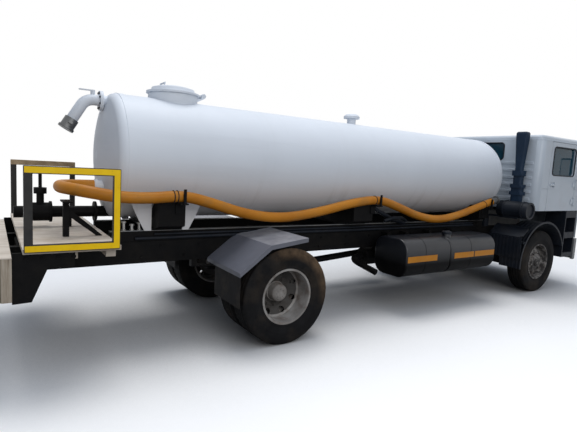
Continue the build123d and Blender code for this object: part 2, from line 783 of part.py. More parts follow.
def knuckle():
    """The left knuckle: two lugs on the king pin, a root plate, the stub and a steering arm."""
    z = TYRE_R
    x = WHEELBASE
    inner = EYE_HALF + LUG_GAP
    outer = inner + LUG_T
    body = rod_z(z - outer, z + outer, x, KING_Y, KING_R)
    for side in (-1, 1):
        lug = rod_z(z + side * inner, z + side * outer, x, KING_Y, EYE_R)
        lug = lug + box(x - EYE_R, x + EYE_R, KING_Y, STUB_ROOT_Y + 10, z + side * inner, z + side * outer)
        body = body + lug
    body = body + box(x - EYE_R, x + EYE_R, STUB_ROOT_Y, STUB_ROOT_Y + 14, z - outer, z + outer)
    stub_end = FRONT_Y + FRONT_DRUM_IN + BORE_LEN - 10
    body = body + rod_y(STUB_ROOT_Y, stub_end, x, z, SPINDLE_R)
    arm = box(x - ARM_LEN, x - EYE_R + 20, KING_Y - 20, KING_Y + 20, z - outer, z - inner)
    return body + arm


# Mudguards.
REAR_GUARD_T = 5
REAR_GUARD_Z = 1155
REAR_GUARD_OUT = REAR_OUTER_FACE + 10
REAR_GUARD_FRONT = 216
REAR_GUARD_FOLD = -250
REAR_GUARD_DROP = 60
REAR_GUARD_TAIL = (REAR_GUARD_FOLD - 340, REAR_GUARD_Z - REAR_GUARD_DROP - 261)
LIP_H = 45
GUARD_STAY_X = -60
STAY_W = 40
FLAP_T = 10
FLAP_LOW = 470


def rear_mudguard():
    """One folded sheet, nearly flat over the wheels and steeper behind them, its edges turned down."""
    t, z, lip = REAR_GUARD_T, REAR_GUARD_Z, LIP_H
    front, fold = REAR_GUARD_FRONT, REAR_GUARD_FOLD
    fold_z = z - REAR_GUARD_DROP
    tail_x, tail_z = REAR_GUARD_TAIL
    sheet = [
        (front, z), (fold, fold_z), (tail_x, tail_z),
        (tail_x + t, tail_z - t), (fold + t / 2, fold_z - t), (front, z - t),
    ]
    skirt = [
        (front, z), (fold, fold_z), (tail_x, tail_z),
        (tail_x, tail_z - lip), (fold + lip / 3, fold_z - lip), (front, z - lip),
    ]
    made = side_prism(sheet, RAIL_OUT, REAR_GUARD_OUT)
    made = made + side_prism(skirt, REAR_GUARD_OUT - t, REAR_GUARD_OUT)
    made = made + box(front - t, front, RAIL_OUT, REAR_GUARD_OUT, z - lip, z)
    made = made + box(tail_x, tail_x + t, RAIL_OUT, REAR_GUARD_OUT, tail_z - lip, tail_z)
    x0, x1 = GUARD_STAY_X - STAY_W / 2, GUARD_STAY_X + STAY_W / 2
    under = z - t - REAR_GUARD_DROP * (front - x0) / (front - fold)
    return made + box(x0, x1, RAIL_OUT, REAR_GUARD_OUT - t, under + t / 2 - STAY_W, under + t / 2)


def mud_flap():
    """Hangs on the front face of the mudguard's rear edge."""
    tail_x, tail_z = REAR_GUARD_TAIL
    x = tail_x + REAR_GUARD_T
    inner = DUAL_Y - TYRE_W - DUAL_GAP / 2
    outer = REAR_GUARD_OUT - 2 * REAR_GUARD_T
    return box(x, x + FLAP_T, inner, outer, FLAP_LOW, tail_z - REAR_GUARD_T - 1)


FRONT_GUARD_R = TYRE_R + 137
FRONT_GUARD_T = 8
FRONT_GUARD_OUT = FRONT_OUTER_FACE + 55
FRONT_GUARD_IN = FRONT_GUARD_OUT - 375
FRONT_GUARD_LIP = 26
FRONT_GUARD_EDGE = 12
FRONT_GUARD_FROM = 22
FRONT_GUARD_TO = 186
GUARD_RIBS = 5
GUARD_RIB_W = 12
GUARD_RIB_H = 10


def sector(r0, r1, a0, a1, y0, y1):
    """A curved plate about the front axle between two angles in degrees."""
    def at(r, deg):
        a = math.radians(deg)
        return (WHEELBASE + r * math.cos(a), 0, TYRE_R + r * math.sin(a))
    mid = (a0 + a1) / 2
    outer = ThreePointArc(at(r1, a0), at(r1, mid), at(r1, a1))
    inner = ThreePointArc(at(r0, a1), at(r0, mid), at(r0, a0))
    face = make_face([outer, Line(at(r1, a1), at(r0, a1)), inner, Line(at(r0, a0), at(r1, a0))])
    return Pos(0, min(y0, y1), 0) * extrude(face, abs(y1 - y0), dir=(0, 1, 0))


def front_mudguard():
    r0, r1 = FRONT_GUARD_R, FRONT_GUARD_R + FRONT_GUARD_T
    a0, a1 = FRONT_GUARD_FROM, FRONT_GUARD_TO
    shell = sector(r0, r1, a0, a1, FRONT_GUARD_IN, FRONT_GUARD_OUT)
    lip = sector(r0, r1 + FRONT_GUARD_LIP, a0, a1, FRONT_GUARD_OUT - FRONT_GUARD_EDGE, FRONT_GUARD_OUT)
    pitch = (FRONT_GUARD_OUT - FRONT_GUARD_IN) / (GUARD_RIBS + 1)
    for i in range(GUARD_RIBS):
        y = FRONT_GUARD_IN + (i + 1) * pitch
        shell = shell + sector(r0, r1 + GUARD_RIB_H, a0, a1, y - GUARD_RIB_W, y)
    stay_z = RAIL_BOTTOM + STAY_W
    bite = math.sqrt((r0 + 3) ** 2 - (stay_z - TYRE_R) ** 2)
    x = WHEELBASE - bite
    stay = box(x - 1.5 * STAY_W, x, RAIL_OUT, FRONT_GUARD_OUT - FRONT_GUARD_EDGE, stay_z, stay_z + STAY_W)
    return shell + lip + stay


# Fuel tanks on the right, end to end behind the front mudguard.
FUEL_FRONT = WHEELBASE - 1350
FUEL_LENGTHS = (896, 1066)
FUEL_GAP = 8
FUEL_OUT = -1150
FUEL_IN = -560
FUEL_LOW = 515
FUEL_TOP = 1035
FUEL_R = 170
FUEL_EDGE = 22
SEAM_W = 10
SEAM_D = 4
CAP_X = FUEL_FRONT - FUEL_LENGTHS[1] + 75
CAP_Y = FUEL_OUT + 160
CAP_R = 62
CAP_H = 45
BRACKET_W = 70
BRACKET_INSET = 260


def fuel_spans():
    """Rear and front stations of the two tanks."""
    front_rear = FUEL_FRONT - FUEL_LENGTHS[1]
    rear_front = front_rear - FUEL_GAP
    return [(rear_front - FUEL_LENGTHS[0], rear_front), (front_rear, FUEL_FRONT)]


def fuel_section(x0, x1, inset):
    low, top = FUEL_LOW + inset, FUEL_TOP - inset
    return rounded_bar_x(x0, x1, FUEL_OUT + inset, FUEL_IN - inset, low, top, FUEL_R - inset)


def fuel_tanks():
    """Rounded tanks with eased ends, a rolled seam round each and a filler on the front one."""
    made = []
    for (x0, x1), share in zip(fuel_spans(), (0.41, 0.43)):
        body = fuel_section(x0, x1, 0)
        ends = body.faces().sort_by(Axis.X)
        body = fillet(ends[0].edges() + ends[-1].edges(), FUEL_EDGE)
        x = x0 + share * (x1 - x0)
        groove = fuel_section(x, x + SEAM_W, 0) - fuel_section(x, x + SEAM_W, SEAM_D)
        made.append(body - groove)
    made[1] = made[1] + rod_z(FUEL_TOP - CAP_H, FUEL_TOP + CAP_H, CAP_X, CAP_Y, CAP_R)
    return made


def tank_brackets():
    made = []
    for x0, x1 in fuel_spans():
        for x in (x0 + BRACKET_INSET, x1 - BRACKET_INSET):
            low, top = FUEL_LOW + FUEL_R, RAIL_TOP - RAIL_T
            made.append(box(x - BRACKET_W / 2, x + BRACKET_W / 2, FUEL_IN, -RAIL_OUT, low, top))
    return made


# Silencer and tail pipe.
SILENCER_R = 125
SILENCER_Y = -285
SILENCER_Z = 660
SILENCER_X = (1900, 2700)
TAIL_R = 42
TAIL_BEND = (SILENCER_X[0] - 260, SILENCER_Y, SILENCER_Z)
TAIL_END = (SILENCER_X[0] - 120, SILENCER_Y - 435, SILENCER_Z - 135)
TAIL_RADIUS = 130
HANGER_INSET = 150


def silencer():
    body = rod_x(*SILENCER_X, SILENCER_Y, SILENCER_Z, SILENCER_R)
    y0 = RAIL_T - RAIL_OUT
    for x in (SILENCER_X[0] + HANGER_INSET, SILENCER_X[1] - HANGER_INSET):
        body = body + box(x - STAY_W / 2, x + STAY_W / 2, y0, y0 + 1.5 * STAY_W, SILENCER_Z, RAIL_BOTTOM)
    start = (SILENCER_X[0] + TAIL_R, SILENCER_Y, SILENCER_Z)
    return body + tube([start, TAIL_BEND, TAIL_END], TAIL_RADIUS, TAIL_R)


# Engine and gearbox as one plain block on its mounts, and the shaft to the rear axle.
ENGINE_X = (WHEELBASE - 450, WHEELBASE + 730)
ENGINE_HALF = 330
ENGINE_Z = (640, 1330)
GEARBOX_X = WHEELBASE - 1080
GEARBOX_HALF = 190
GEARBOX_Z = (660, 1000)
SHAFT_R = 46
OUTPUT_Z = 800


def engine():
    block = box(*ENGINE_X, -ENGINE_HALF, ENGINE_HALF, *ENGINE_Z)
    block = block + box(GEARBOX_X, ENGINE_X[0], -GEARBOX_HALF, GEARBOX_HALF, *GEARBOX_Z)
    web = RAIL_OUT - RAIL_T
    for x in (ENGINE_X[0] + 250, ENGINE_X[1] - 250):
        block = block + box(x - 60, x + 60, -web, web, RAIL_BOTTOM + 60, RAIL_BOTTOM + 130)
    return block


def propeller_shaft():
    ends = []
    for x, z in ((NOSE_X, TYRE_R), (GEARBOX_X, OUTPUT_Z)):
        ends.append(Plane(origin=(x, 0, z), z_dir=(1, 0, 0)) * Circle(SHAFT_R))
    return loft(ends)


# Left side: air tanks, battery box and the vacuum pump.
AIR_TANK_R = 130
AIR_TANKS = [(WHEELBASE - 3700, WHEELBASE - 2850), (WHEELBASE - 2750, WHEELBASE - 2050)]
AIR_TANK_Y = RAIL_OUT + 210
AIR_TANK_Z = 840
AIR_DISH = 40
BATTERY_X = (WHEELBASE - 1870, WHEELBASE - 1320)
BATTERY_Y = (RAIL_OUT + 130, RAIL_OUT + 670)
BATTERY_Z = (600, 1000)
BATTERY_R = 25
LID_SEAM_Z = BATTERY_Z[1] - 70
PUMP_X = (WHEELBASE - 1150, WHEELBASE - 720)
PUMP_Y = RAIL_OUT + 210
PUMP_R = 170
PUMP_FIN_H = 22
PUMP_FIN_T = 20
PUMP_FINS = 3
PUMP_FIN_PITCH = 110
PUMP_Z = 900
PORT_R = 55
PORT_TOP = PUMP_Z + 260


def air_tanks():
    made = []
    for x0, x1 in AIR_TANKS:
        body = rod_x(x0, x1, AIR_TANK_Y, AIR_TANK_Z, AIR_TANK_R)
        body = fillet(body.edges(), AIR_DISH)
        for x in (x0 + HANGER_INSET, x1 - HANGER_INSET):
            x_a, x_b = x - STAY_W / 2, x + STAY_W / 2
            body = body + box(x_a, x_b, RAIL_OUT, AIR_TANK_Y, AIR_TANK_Z - STAY_W, AIR_TANK_Z + STAY_W)
        made.append(body)
    return made


def battery_box():
    """A box with a lid line round it, on a bracket from the rail."""
    (x0, x1), (y0, y1), (z0, z1) = BATTERY_X, BATTERY_Y, BATTERY_Z
    body = box(x0, x1, y0, y1, z0, z1)
    body = fillet(body.edges().filter_by(Axis.X), BATTERY_R)
    d = SEAM_D
    seam = box(x0, x1, y0, y1, LID_SEAM_Z, LID_SEAM_Z + SEAM_W)
    seam = seam - box(x0 + d, x1 - d, y0 + d, y1 - d, LID_SEAM_Z, LID_SEAM_Z + SEAM_W)
    bracket = box(x0 + 2 * STAY_W, x1 - 2 * STAY_W, RAIL_OUT, y0 + d, z1 - 4 * STAY_W, z1 - 2 * STAY_W)
    return body - seam + bracket


def vacuum_pump():
    """A round pump body with cooling fins, an upright port and a foot on the rail."""
    body = rod_x(*PUMP_X, PUMP_Y, PUMP_Z, PUMP_R)
    for i in range(PUMP_FINS):
        x = PUMP_X[0] + (i + 0.6) * PUMP_FIN_PITCH
        body = body + rod_x(x, x + PUMP_FIN_T, PUMP_Y, PUMP_Z, PUMP_R + PUMP_FIN_H)
    middle = (PUMP_X[0] + PUMP_X[1]) / 2
    body = body + rod_z(PUMP_Z, PORT_TOP, middle, PUMP_Y, PORT_R)
    x0, x1 = PUMP_X[0] + 1.5 * STAY_W, PUMP_X[1] - 1.5 * STAY_W
    return body + box(x0, x1, RAIL_OUT, PUMP_Y, PUMP_Z - 1.5 * STAY_W, PUMP_Z + 1.5 * STAY_W)


# Air cleaner behind the cab: a canister across the truck, a bellows on it and a snorkel.
CLEANER_X = CAB_REAR - 160
CLEANER_Z = 1400
CLEANER_R = 138
CLEANER_Y = (-CAB_HALF, -660)
CLEANER_BAND = 30
SHELF_T = 26
SNORKEL_TOP = 2690
SNORKEL_Y = 300 - CAB_HALF
# Snorkel duct: columns are the height, the size along X and the size along Y.
DUCT = [(2050, 90, 130), (2330, 112, 160), (SNORKEL_TOP - 100, 140, 190)]
DUCT_R = 38
SNORKEL_X = CAB_REAR - 20 - DUCT[-1][1] / 2
# Bellows: columns are the folds' bottom height, size along X and size along Y.
BELLOWS = [
    (CLEANER_Z + 100, 128, 170), (1640, 150, 230), (1700, 120, 190), (1760, 150, 220), (1820, 110, 150),
    (1960, 150, 190),
]


def air_cleaner():
    y0, y1 = CLEANER_Y
    body = rod_y(y0, y1, CLEANER_X, CLEANER_Z, CLEANER_R)
    for y in (y0 + 3 * CLEANER_BAND, y1 - 4 * CLEANER_BAND):
        body = body + rod_y(y, y + CLEANER_BAND, CLEANER_X, CLEANER_Z, CLEANER_R + 10)
    dish = rod_y(y0, y0 + 20, CLEANER_X, CLEANER_Z, CLEANER_R - 30)
    body = body - dish
    x0, x1 = CLEANER_X - 60, CLEANER_X + 60
    shelf = CLEANER_Z - CLEANER_R
    inner = RAIL_W - RAIL_OUT
    body = body + box(x0, x1, y0 + 6 * CLEANER_BAND, inner, shelf - SHELF_T / 2, shelf + SHELF_T / 2)
    return body + box(x0, x1, -RAIL_OUT, inner, RAIL_TOP, shelf)


def duct_ring(z, dx, dy):
    return Pos(SNORKEL_X, SNORKEL_Y, z) * RectangleRounded(dx, dy, DUCT_R)


def snorkel():
    """Folds of the bellows on the canister, then a duct that widens up to a rounded head."""
    bottoms = [row[0] for row in BELLOWS + DUCT[:1]]
    tops = dict(zip(bottoms, bottoms[1:]))
    body = None
    for z, dx, dy in BELLOWS:
        fold = extrude(duct_ring(z, dx, dy), tops[z] - z)
        body = fold if body is None else body + fold
    for low, high in zip(DUCT, DUCT[1:]):
        body = body + loft([duct_ring(*low), duct_ring(*high)])
    z, dx, dy = DUCT[-1]
    head = extrude(duct_ring(z, dx, dy), SNORKEL_TOP - z)
    head = fillet(head.faces().sort_by(Axis.Z)[-1].edges(), DUCT_R - 2)
    return body + head - air_cleaner()


# Cab.
CAB_IN = CAB_HALF - CAB_WALL
QUARTER_FRONT = DOOR_REAR - DOOR_GAP
PILLAR_REAR = DOOR_FRONT + DOOR_GAP
REAR_WIN = (1020, 280, 60)
REAR_WIN_Z = 2375
SIDE_WIN = (DOOR_REAR + 85, DOOR_FRONT - 85, 2010, 2470)
SIDE_WIN_R = 55
SWAGE_LOW = 1560
SWAGE_PITCH = 120
SWAGES = 6
SWAGE_H = 45
SWAGE_T = 8
CREASE_Z = 1765
CREASE_H = 10
CREASE_D = 5
FAR = 3000
SCREEN_HALF = 1030
SCREEN_Z = (1880, 2500)
GLASS_T = 6


def cab_plan(inset):
    """The cab's outline from above, drawn in by inset, with rounded corners."""
    x0, x1 = CAB_REAR + inset, FACE_X - inset
    half = CAB_HALF - inset
    outline = Pos((x0 + x1) / 2, 0, 0) * RectangleRounded(x1 - x0, 2 * half, CORNER_R - inset)
    return outline


def cab_column(inset, z0, z1):
    return Pos(0, 0, z0) * extrude(cab_plan(inset), z1 - z0)


def cab_ring(z0, z1):
    return cab_column(0, z0, z1) - cab_column(CAB_WALL, z0 - 1, z1 + 1)


def rear_window_prism(x0, x1):
    width, height, r = REAR_WIN
    plane = Plane(origin=(x0, 0, REAR_WIN_Z), x_dir=(0, 1, 0), z_dir=(1, 0, 0))
    return extrude(plane * RectangleRounded(width, height, r), x1 - x0)


def cab_back():
    """Back wall and both quarters in one, with the rear window, swages and a side crease."""
    back = cab_ring(CAB_LOW, ROOF_LOW) & box(CAB_REAR, QUARTER_FRONT, -FAR, FAR, 0, FAR)
    back = back - rear_window_prism(CAB_REAR, CAB_REAR + CAB_WALL)
    half = CAB_HALF - CORNER_R - 20
    for i in range(SWAGES):
        z = SWAGE_LOW + i * SWAGE_PITCH
        back = back + box(CAB_REAR - SWAGE_T, CAB_REAR, -half, half, z, z + SWAGE_H)
    for side in (-1, 1):
        back = back - side_crease(CAB_REAR + CORNER_R, QUARTER_FRONT, side)
    return back


def side_crease(x0, x1, side):
    """A shallow line along the cab's side."""
    return box(x0, x1, side * (CAB_HALF - CREASE_D), side * CAB_HALF, CREASE_Z, CREASE_Z + CREASE_H)


def rear_window():
    x = CAB_REAR + CAB_WALL / 2
    return rear_window_prism(x - GLASS_T / 2, x + GLASS_T / 2)


def front_outline(inset):
    x, top = FACE_X - inset, SCREEN_TOP_X - inset
    return [(CAB_REAR, 0), (x, 0), (x, WAIST_Z - 50), (top, ROOF_LOW), (top, FAR), (CAB_REAR, FAR)]


GUTTER_W = 16
GUTTER_H = 14
ROOF_R = 55


def cab_roof():
    """A shallow pan with a rounded edge over a gutter lip."""
    roof = cab_column(GUTTER_W, ROOF_LOW, ROOF_TOP) & side_prism(front_outline(GUTTER_W), -FAR, FAR)
    roof = fillet(roof.edges().group_by(Axis.Z)[-1], ROOF_R)
    gutter = cab_column(0, ROOF_LOW, ROOF_LOW + GUTTER_H) & side_prism(front_outline(0), -FAR, FAR)
    return roof + gutter


FLOOR_GAP = 10


def cab_floor():
    reach = CAB_IN - FLOOR_GAP
    pan = box(CAB_REAR, FACE_X, -reach, reach, CAB_LOW, CAB_LOW + CAB_FLOOR_T)
    return pan & cab_column(CAB_WALL, CAB_LOW, CAB_LOW + CAB_FLOOR_T)


def cab_front():
    """The face, its pillars and the apron below it, with the windscreen cut out."""
    wall = cab_column(0, APRON_LOW, ROOF_LOW) & box(PILLAR_REAR, FACE_X, -FAR, FAR, 0, FAR)
    outside = side_prism(front_outline(0), -FAR, FAR)
    inside = side_prism(front_outline(CAB_WALL), -CAB_IN, CAB_IN)
    shell = (wall & outside) - inside
    shell = shell - box(PILLAR_REAR, FACE_X - CAB_WALL, -FAR, FAR, 0, CAB_LOW)
    for side in (-1, 1):
        shell = shell - side_crease(PILLAR_REAR, FACE_X - CORNER_R, side)
    return shell - screen_cut()


def screen_cut():
    return box(SCREEN_TOP_X - 3 * CAB_WALL, FRONT_END, -SCREEN_HALF, SCREEN_HALF, *SCREEN_Z)


def windscreen():
    mid = CAB_WALL / 2
    plate = side_prism(front_outline(mid - GLASS_T / 2), -SCREEN_HALF, SCREEN_HALF)
    plate = plate - side_prism(front_outline(mid + GLASS_T / 2), -SCREEN_HALF - 1, SCREEN_HALF + 1)
    return plate & screen_cut()


def side_window(y0, y1):
    x0, x1, z0, z1 = SIDE_WIN
    plane = Plane(origin=((x0 + x1) / 2, y1, (z0 + z1) / 2), x_dir=(1, 0, 0), z_dir=(0, -1, 0))
    return extrude(plane * RectangleRounded(x1 - x0, z1 - z0, SIDE_WIN_R), y1 - y0)


HINGE_X = DOOR_FRONT + DOOR_GAP / 2
HINGE_Y = CAB_HALF + 10
HINGE_R = 10
HINGE_LEN = 90
HINGE_LEAF = 93
HINGE_Z = [1560, 1860]
HANDLE_INSET = 60
HANDLE_LEN = 140
HANDLE_H = 30
HANDLE_OUT = 18


def door():
    """The left door, with the middle barrels of its hinges."""
    panel = box(DOOR_REAR, DOOR_FRONT, CAB_IN, CAB_HALF, CAB_LOW, ROOF_LOW - DOOR_GAP)
    panel = panel - side_window(CAB_IN, CAB_HALF)
    panel = panel - side_crease(DOOR_REAR, DOOR_FRONT, 1)
    x0, x1, z0 = DOOR_REAR + HANDLE_INSET, DOOR_REAR + HANDLE_INSET + HANDLE_LEN, CREASE_Z + 2 * HANDLE_H
    pocket = box(x0, x1, CAB_HALF - HANDLE_OUT, CAB_HALF, z0 - HANDLE_H, z0 + 2 * HANDLE_H)
    grip = box(x0, x1, CAB_HALF - HANDLE_OUT, CAB_HALF + HANDLE_OUT, z0, z0 + HANDLE_H)
    panel = panel - pocket + grip
    for z in HINGE_Z:
        low, high = z - HINGE_LEN / 2, z + HINGE_LEN / 2
        leaf = box(HINGE_X - HINGE_LEAF, HINGE_X, CAB_HALF, HINGE_Y, low, high)
        panel = panel + leaf + rod_z(low, high, HINGE_X, HINGE_Y, HINGE_R)
    return panel


def door_glass():
    y = (CAB_IN + CAB_HALF) / 2
    return side_window(y - GLASS_T / 2, y + GLASS_T / 2)


HINGE_LUG = 30
HINGE_PLAY = 0.5


def hinge_lugs():
    """Fixed hinge knuckles on the left pillar, above and below each door barrel."""
    made = []
    for z in HINGE_Z:
        for side in (-1, 1):
            z0 = z + side * (HINGE_LEN / 2 + HINGE_PLAY)
            z1 = z0 + side * HINGE_LUG
            lug = rod_z(z0, z1, HINGE_X, HINGE_Y, HINGE_R)
            made.append(lug + box(HINGE_X, HINGE_X + 2 * HINGE_LUG, CAB_HALF, HINGE_Y, z0, z1))
    return made


GRILLE_HALF = 560
GRILLE_Z = (1080, 1560)
GRILLE_T = 24
GRILLE_BAR = 40
SLAT_H = 34
SLATS = 6


def grille():
    x0, x1 = FACE_X, FACE_X + GRILLE_T
    low, high = GRILLE_Z
    b = GRILLE_BAR
    frame = box(x0, x1, -GRILLE_HALF, GRILLE_HALF, low, high)
    inner = GRILLE_HALF - b
    frame = frame - box(x0, x1, -inner, inner, low + b, high - b)
    pitch = (high - low - 2 * b) / (SLATS + 1)
    for i in range(SLATS):
        z = low + b + (i + 1) * pitch
        slat = [(x0, z - SLAT_H / 2), (x1 - 6, z - SLAT_H / 2 - 8), (x1 - 6, z + 2), (x0, z + SLAT_H / 2)]
        frame = frame + side_prism(slat, -inner, inner)
    for y in (-inner / 3, inner / 3):
        frame = frame + box(x0, x1, y - b / 4, y + b / 4, low + b, high - b)
    return frame


BUMPER_Z = (500, 880)
BUMPER_T = 80
BUMPER_R = 120
BUMPER_WRAP = 100
HEAD_LAMP = (760, 1040, 620, 770)
LAMP_DEPTH = 30
LAMP_CORNER = 25
LAMP_GAP = 0.5
SLOT_HALF = 480
SLOT_Z = (600, 700)


def bumper():
    x0 = FRONT_END - BUMPER_T
    """A beam that wraps round the corners, with lamp pockets, a step slot and stubs to the rails."""
    low, high = BUMPER_Z
    plan = Pos(x0 - BUMPER_R, 0, 0) * RectangleRounded(2 * (BUMPER_T + BUMPER_R), 2 * CAB_HALF, BUMPER_R)
    beam = Pos(0, 0, low) * extrude(plan, high - low)
    beam = beam & box(x0 - BUMPER_WRAP, FRONT_END, -CAB_HALF, CAB_HALF, low, high)
    inner = CAB_HALF - BUMPER_T / 2
    beam = beam - box(x0 - BUMPER_WRAP, x0, -inner, inner, low, high)
    slot = box(FRONT_END - LAMP_DEPTH, FRONT_END, -SLOT_HALF, SLOT_HALF, SLOT_Z[0], SLOT_Z[1])
    beam = beam - slot
    for side in (-1, 1):
        y0, y1 = side * (RAIL_OUT - RAIL_W), side * RAIL_OUT
        beam = beam + box(RAIL_FRONT, x0 + RAIL_T, y0, y1, RAIL_BOTTOM, high)
        beam = beam - lamp_block(0, side)
    return beam


def lamp_block(gap, side):
    """A rounded lamp in the bumper's face, gap clear of its pocket all round."""
    y0, y1, z0, z1 = HEAD_LAMP
    x0, x1 = FRONT_END - LAMP_DEPTH, FRONT_END - 4 * gap
    block = box(x0, x1, side * (y0 + gap), side * (y1 - gap), z0 + gap, z1 - gap)
    return fillet(block.edges().filter_by(Axis.X), LAMP_CORNER - gap)


def head_lamps():
    return [lamp_block(LAMP_GAP, 1), lamp_block(LAMP_GAP, -1)]


MIRROR_X = FACE_X - 270
MIRROR_Y = (CAB_HALF + 70, CAB_HALF + 250)
MIRROR_HALF = 30
MIRROR_Z = (1900, 2330)
ARM_R = 13


def mirrors():
    y0, y1 = MIRROR_Y
    head = box(MIRROR_X - MIRROR_HALF, MIRROR_X + MIRROR_HALF, y0, y1, *MIRROR_Z)
    head = fillet(head.edges().filter_by(Axis.X), MIRROR_HALF)
    for z in (MIRROR_Z[0] + 3 * ARM_R, MIRROR_Z[1] - 3 * ARM_R):
        head = head + rod_y(CAB_HALF, (y0 + y1) / 2, MIRROR_X, z, ARM_R)
    return pair(head)


STEP_X = (WHEELBASE + 700, WHEELBASE + 1085)
STEP_Y = (CAB_HALF - 360, CAB_HALF - 10)
STEP_Z = (560, CAB_LOW)
STEP_WALL = 30
STEP_DEPTH = 230
FOOT_HOLE_H = 260
# Heights of the two foot holes' floors.
FOOT_HOLES = [640, 1010]


def cab_steps():
    body = box(*STEP_X, *STEP_Y, *STEP_Z)
    x0, x1 = STEP_X[0] + STEP_WALL, STEP_X[1] - STEP_WALL
    for z in FOOT_HOLES:
        body = body - box(x0, x1, STEP_Y[1] - STEP_DEPTH, STEP_Y[1], z, z + FOOT_HOLE_H)
    x = STEP_X[0] + 3 * STAY_W
    stay = box(x - STAY_W, x + STAY_W, RAIL_OUT, STEP_Y[0], RAIL_TOP - 3 * STAY_W, RAIL_TOP - STAY_W)
    return pair(body + stay)


SEAT_W = 480
SEAT_Y = CAB_HALF / 2
SEAT_X = CAB_REAR + 300
SEAT_LEN = 500
SEAT_BASE_H = 230
CUSHION_T = 120
BACK_T = 115
BACK_H = 610
BACK_LEAN = 95
FLOOR_TOP = CAB_LOW + CAB_FLOOR_T


def seats():
    """A plinth, a cushion and a leaning back for each seat."""
    y0, y1 = SEAT_Y - SEAT_W / 2, SEAT_Y + SEAT_W / 2
    low = FLOOR_TOP + SEAT_BASE_H
    top = low + CUSHION_T
    plinth = box(SEAT_X + 60, SEAT_X + SEAT_LEN - 60, y0 + 60, y1 - 60, FLOOR_TOP, low)
    cushion = box(SEAT_X, SEAT_X + SEAT_LEN, y0, y1, low, top)
    back = [
        (SEAT_X, top), (SEAT_X + BACK_T, top),
        (SEAT_X + BACK_T - BACK_LEAN, top + BACK_H), (SEAT_X - BACK_LEAN, top + BACK_H),
    ]
    return pair(plinth + cushion + side_prism(back, y0 + 20, y1 - 20))


DASH_Z = (1700, 1870)
DASH_DEPTH = 330
DASH_GAP = 15


def dash():
    x1 = FACE_X - CAB_WALL
    x0 = x1 - DASH_DEPTH
    low, top = DASH_Z
    outline = [
        (x1, low - 120), (x1, WAIST_Z - CAB_WALL), (x0 + 60, top), (x0, top - 60), (x0 + 30, low),
    ]
    reach = CAB_IN - DASH_GAP
    return side_prism(outline, -reach, reach)


COLUMN_Y = SEAT_Y
COLUMN_R = 32
WHEEL_R = 220
WHEEL_BAR = 16
COLUMN_START = (FACE_X - 320, COLUMN_Y, DASH_Z[1] - 110)
COLUMN_END = (FACE_X - 520, COLUMN_Y, DASH_Z[1] + 90)


def steering_wheel():
    way = along(COLUMN_START, COLUMN_END)
    plane = Plane(origin=COLUMN_END, z_dir=way)
    ring = plane * Torus(WHEEL_R, WHEEL_BAR)
    spoke = plane * Box(2 * WHEEL_R, 44, 14)
    boss = plane * Cylinder(60, 50)
    length = (Vector(*COLUMN_END) - Vector(*COLUMN_START)).length
    shaft = extrude(Plane(origin=COLUMN_START, z_dir=way) * Circle(COLUMN_R), length)
    return ring + spoke + boss + shaft - dash()


# Hose: straight runs joined by arcs as large as the runs allow.
def hose_radii():
    points = [Vector(*p) for p in HOSE_ROUTE]
    radii = []
    for a, b, c in zip(points, points[1:], points[2:]):
        turn = math.radians((b - a).get_angle(c - b))
        radii.append(0.45 * min((b - a).length, (c - b).length) / math.tan(turn / 2))
    return radii


def hose():
    radii = hose_radii()
    print("hose radii", [round(r) for r in radii])
    path = FilletPolyline(*HOSE_ROUTE, radius=radii)
    start = Plane(origin=path @ 0, z_dir=path % 0)
    made = sweep(start * Circle(HOSE_OD / 2), path=path)
    print("hose length", round(path.length), "volume share",
          round(made.volume / (path.length * math.pi * HOSE_OD ** 2 / 4), 4))
    return made


SLEEVE_LEN = 60
CAM_LIP = 34


def hose_coupling():
    way = along(HOSE_ROUTE[-2], HOSE_ROUTE[-1])
    plane = Plane(origin=HOSE_ROUTE[-1], z_dir=way)
    """A clamped sleeve, a waist and the cam lip at the end."""
    body = extrude(plane * Circle(HOSE_OD / 2 + 4), SLEEVE_LEN)
    body = body + extrude(plane.offset(SLEEVE_LEN) * Circle(HOSE_OD / 2 - 6), SLEEVE_LEN)
    return body + extrude(plane.offset(2 * SLEEVE_LEN) * Circle(HOSE_OD / 2 + 8), CAM_LIP)


REST_X = -2060
REST_Y = HOSE_Y + 60
REST_TOP = 1478
REST_BAR = 50
CRADLE_T = 16


def hose_rest():
    """A post on the deck with a strut behind it and a flat cradle under the hose."""
    half = REST_BAR / 2
    post = box(REST_X - half, REST_X + half, REST_Y - half, REST_Y + half, DECK_TOP, REST_TOP)
    strut = [
        (REST_X + half, REST_TOP - 60), (REST_X + half, REST_TOP - 130),
        (REST_X + 255, DECK_TOP), (REST_X + 310, DECK_TOP),
    ]
    cradle = box(REST_X - 40, REST_X + 40, REST_Y - 130, REST_Y + 70, REST_TOP, REST_TOP + CRADLE_T)
    return post + side_prism(strut, REST_Y - 20, REST_Y + 20) + cradle


save("frame_rails", frame_rails() + tank_brackets())
save("subframe", *subframe())
tank = TANK + hose_nozzle() + tank_vent()
for plate in gussets():
    tank = tank + plate
save("tank", tank)
save("saddles", *saddles())
save("manhole_neck", manhole_neck())
save("manhole_lid", manhole_lid())
save("fill_elbow", fill_elbow())
save("fill_coupling", fill_coupling())
save("discharge_pipe", discharge_pipe() + discharge_valve())
save("deck", deck())
save("guard_frames", *pair(guard()))
save("rear_step", rear_step())
save("step_tread", step_tread())
save("drop_brackets", *pair(drop_bracket()))
save("tail_lamps", *pair(tail_lamp()))
outer_y = DUAL_Y + TYRE_W / 2 + DUAL_GAP / 2
inner_y = DUAL_Y - TYRE_W / 2 - DUAL_GAP / 2
rear_tyres = [tyre(outer_y), tyre(inner_y)]
front_tyre = Pos(WHEELBASE, 0, 0) * tyre(FRONT_Y)
save("rear_tyres_left", *rear_tyres)
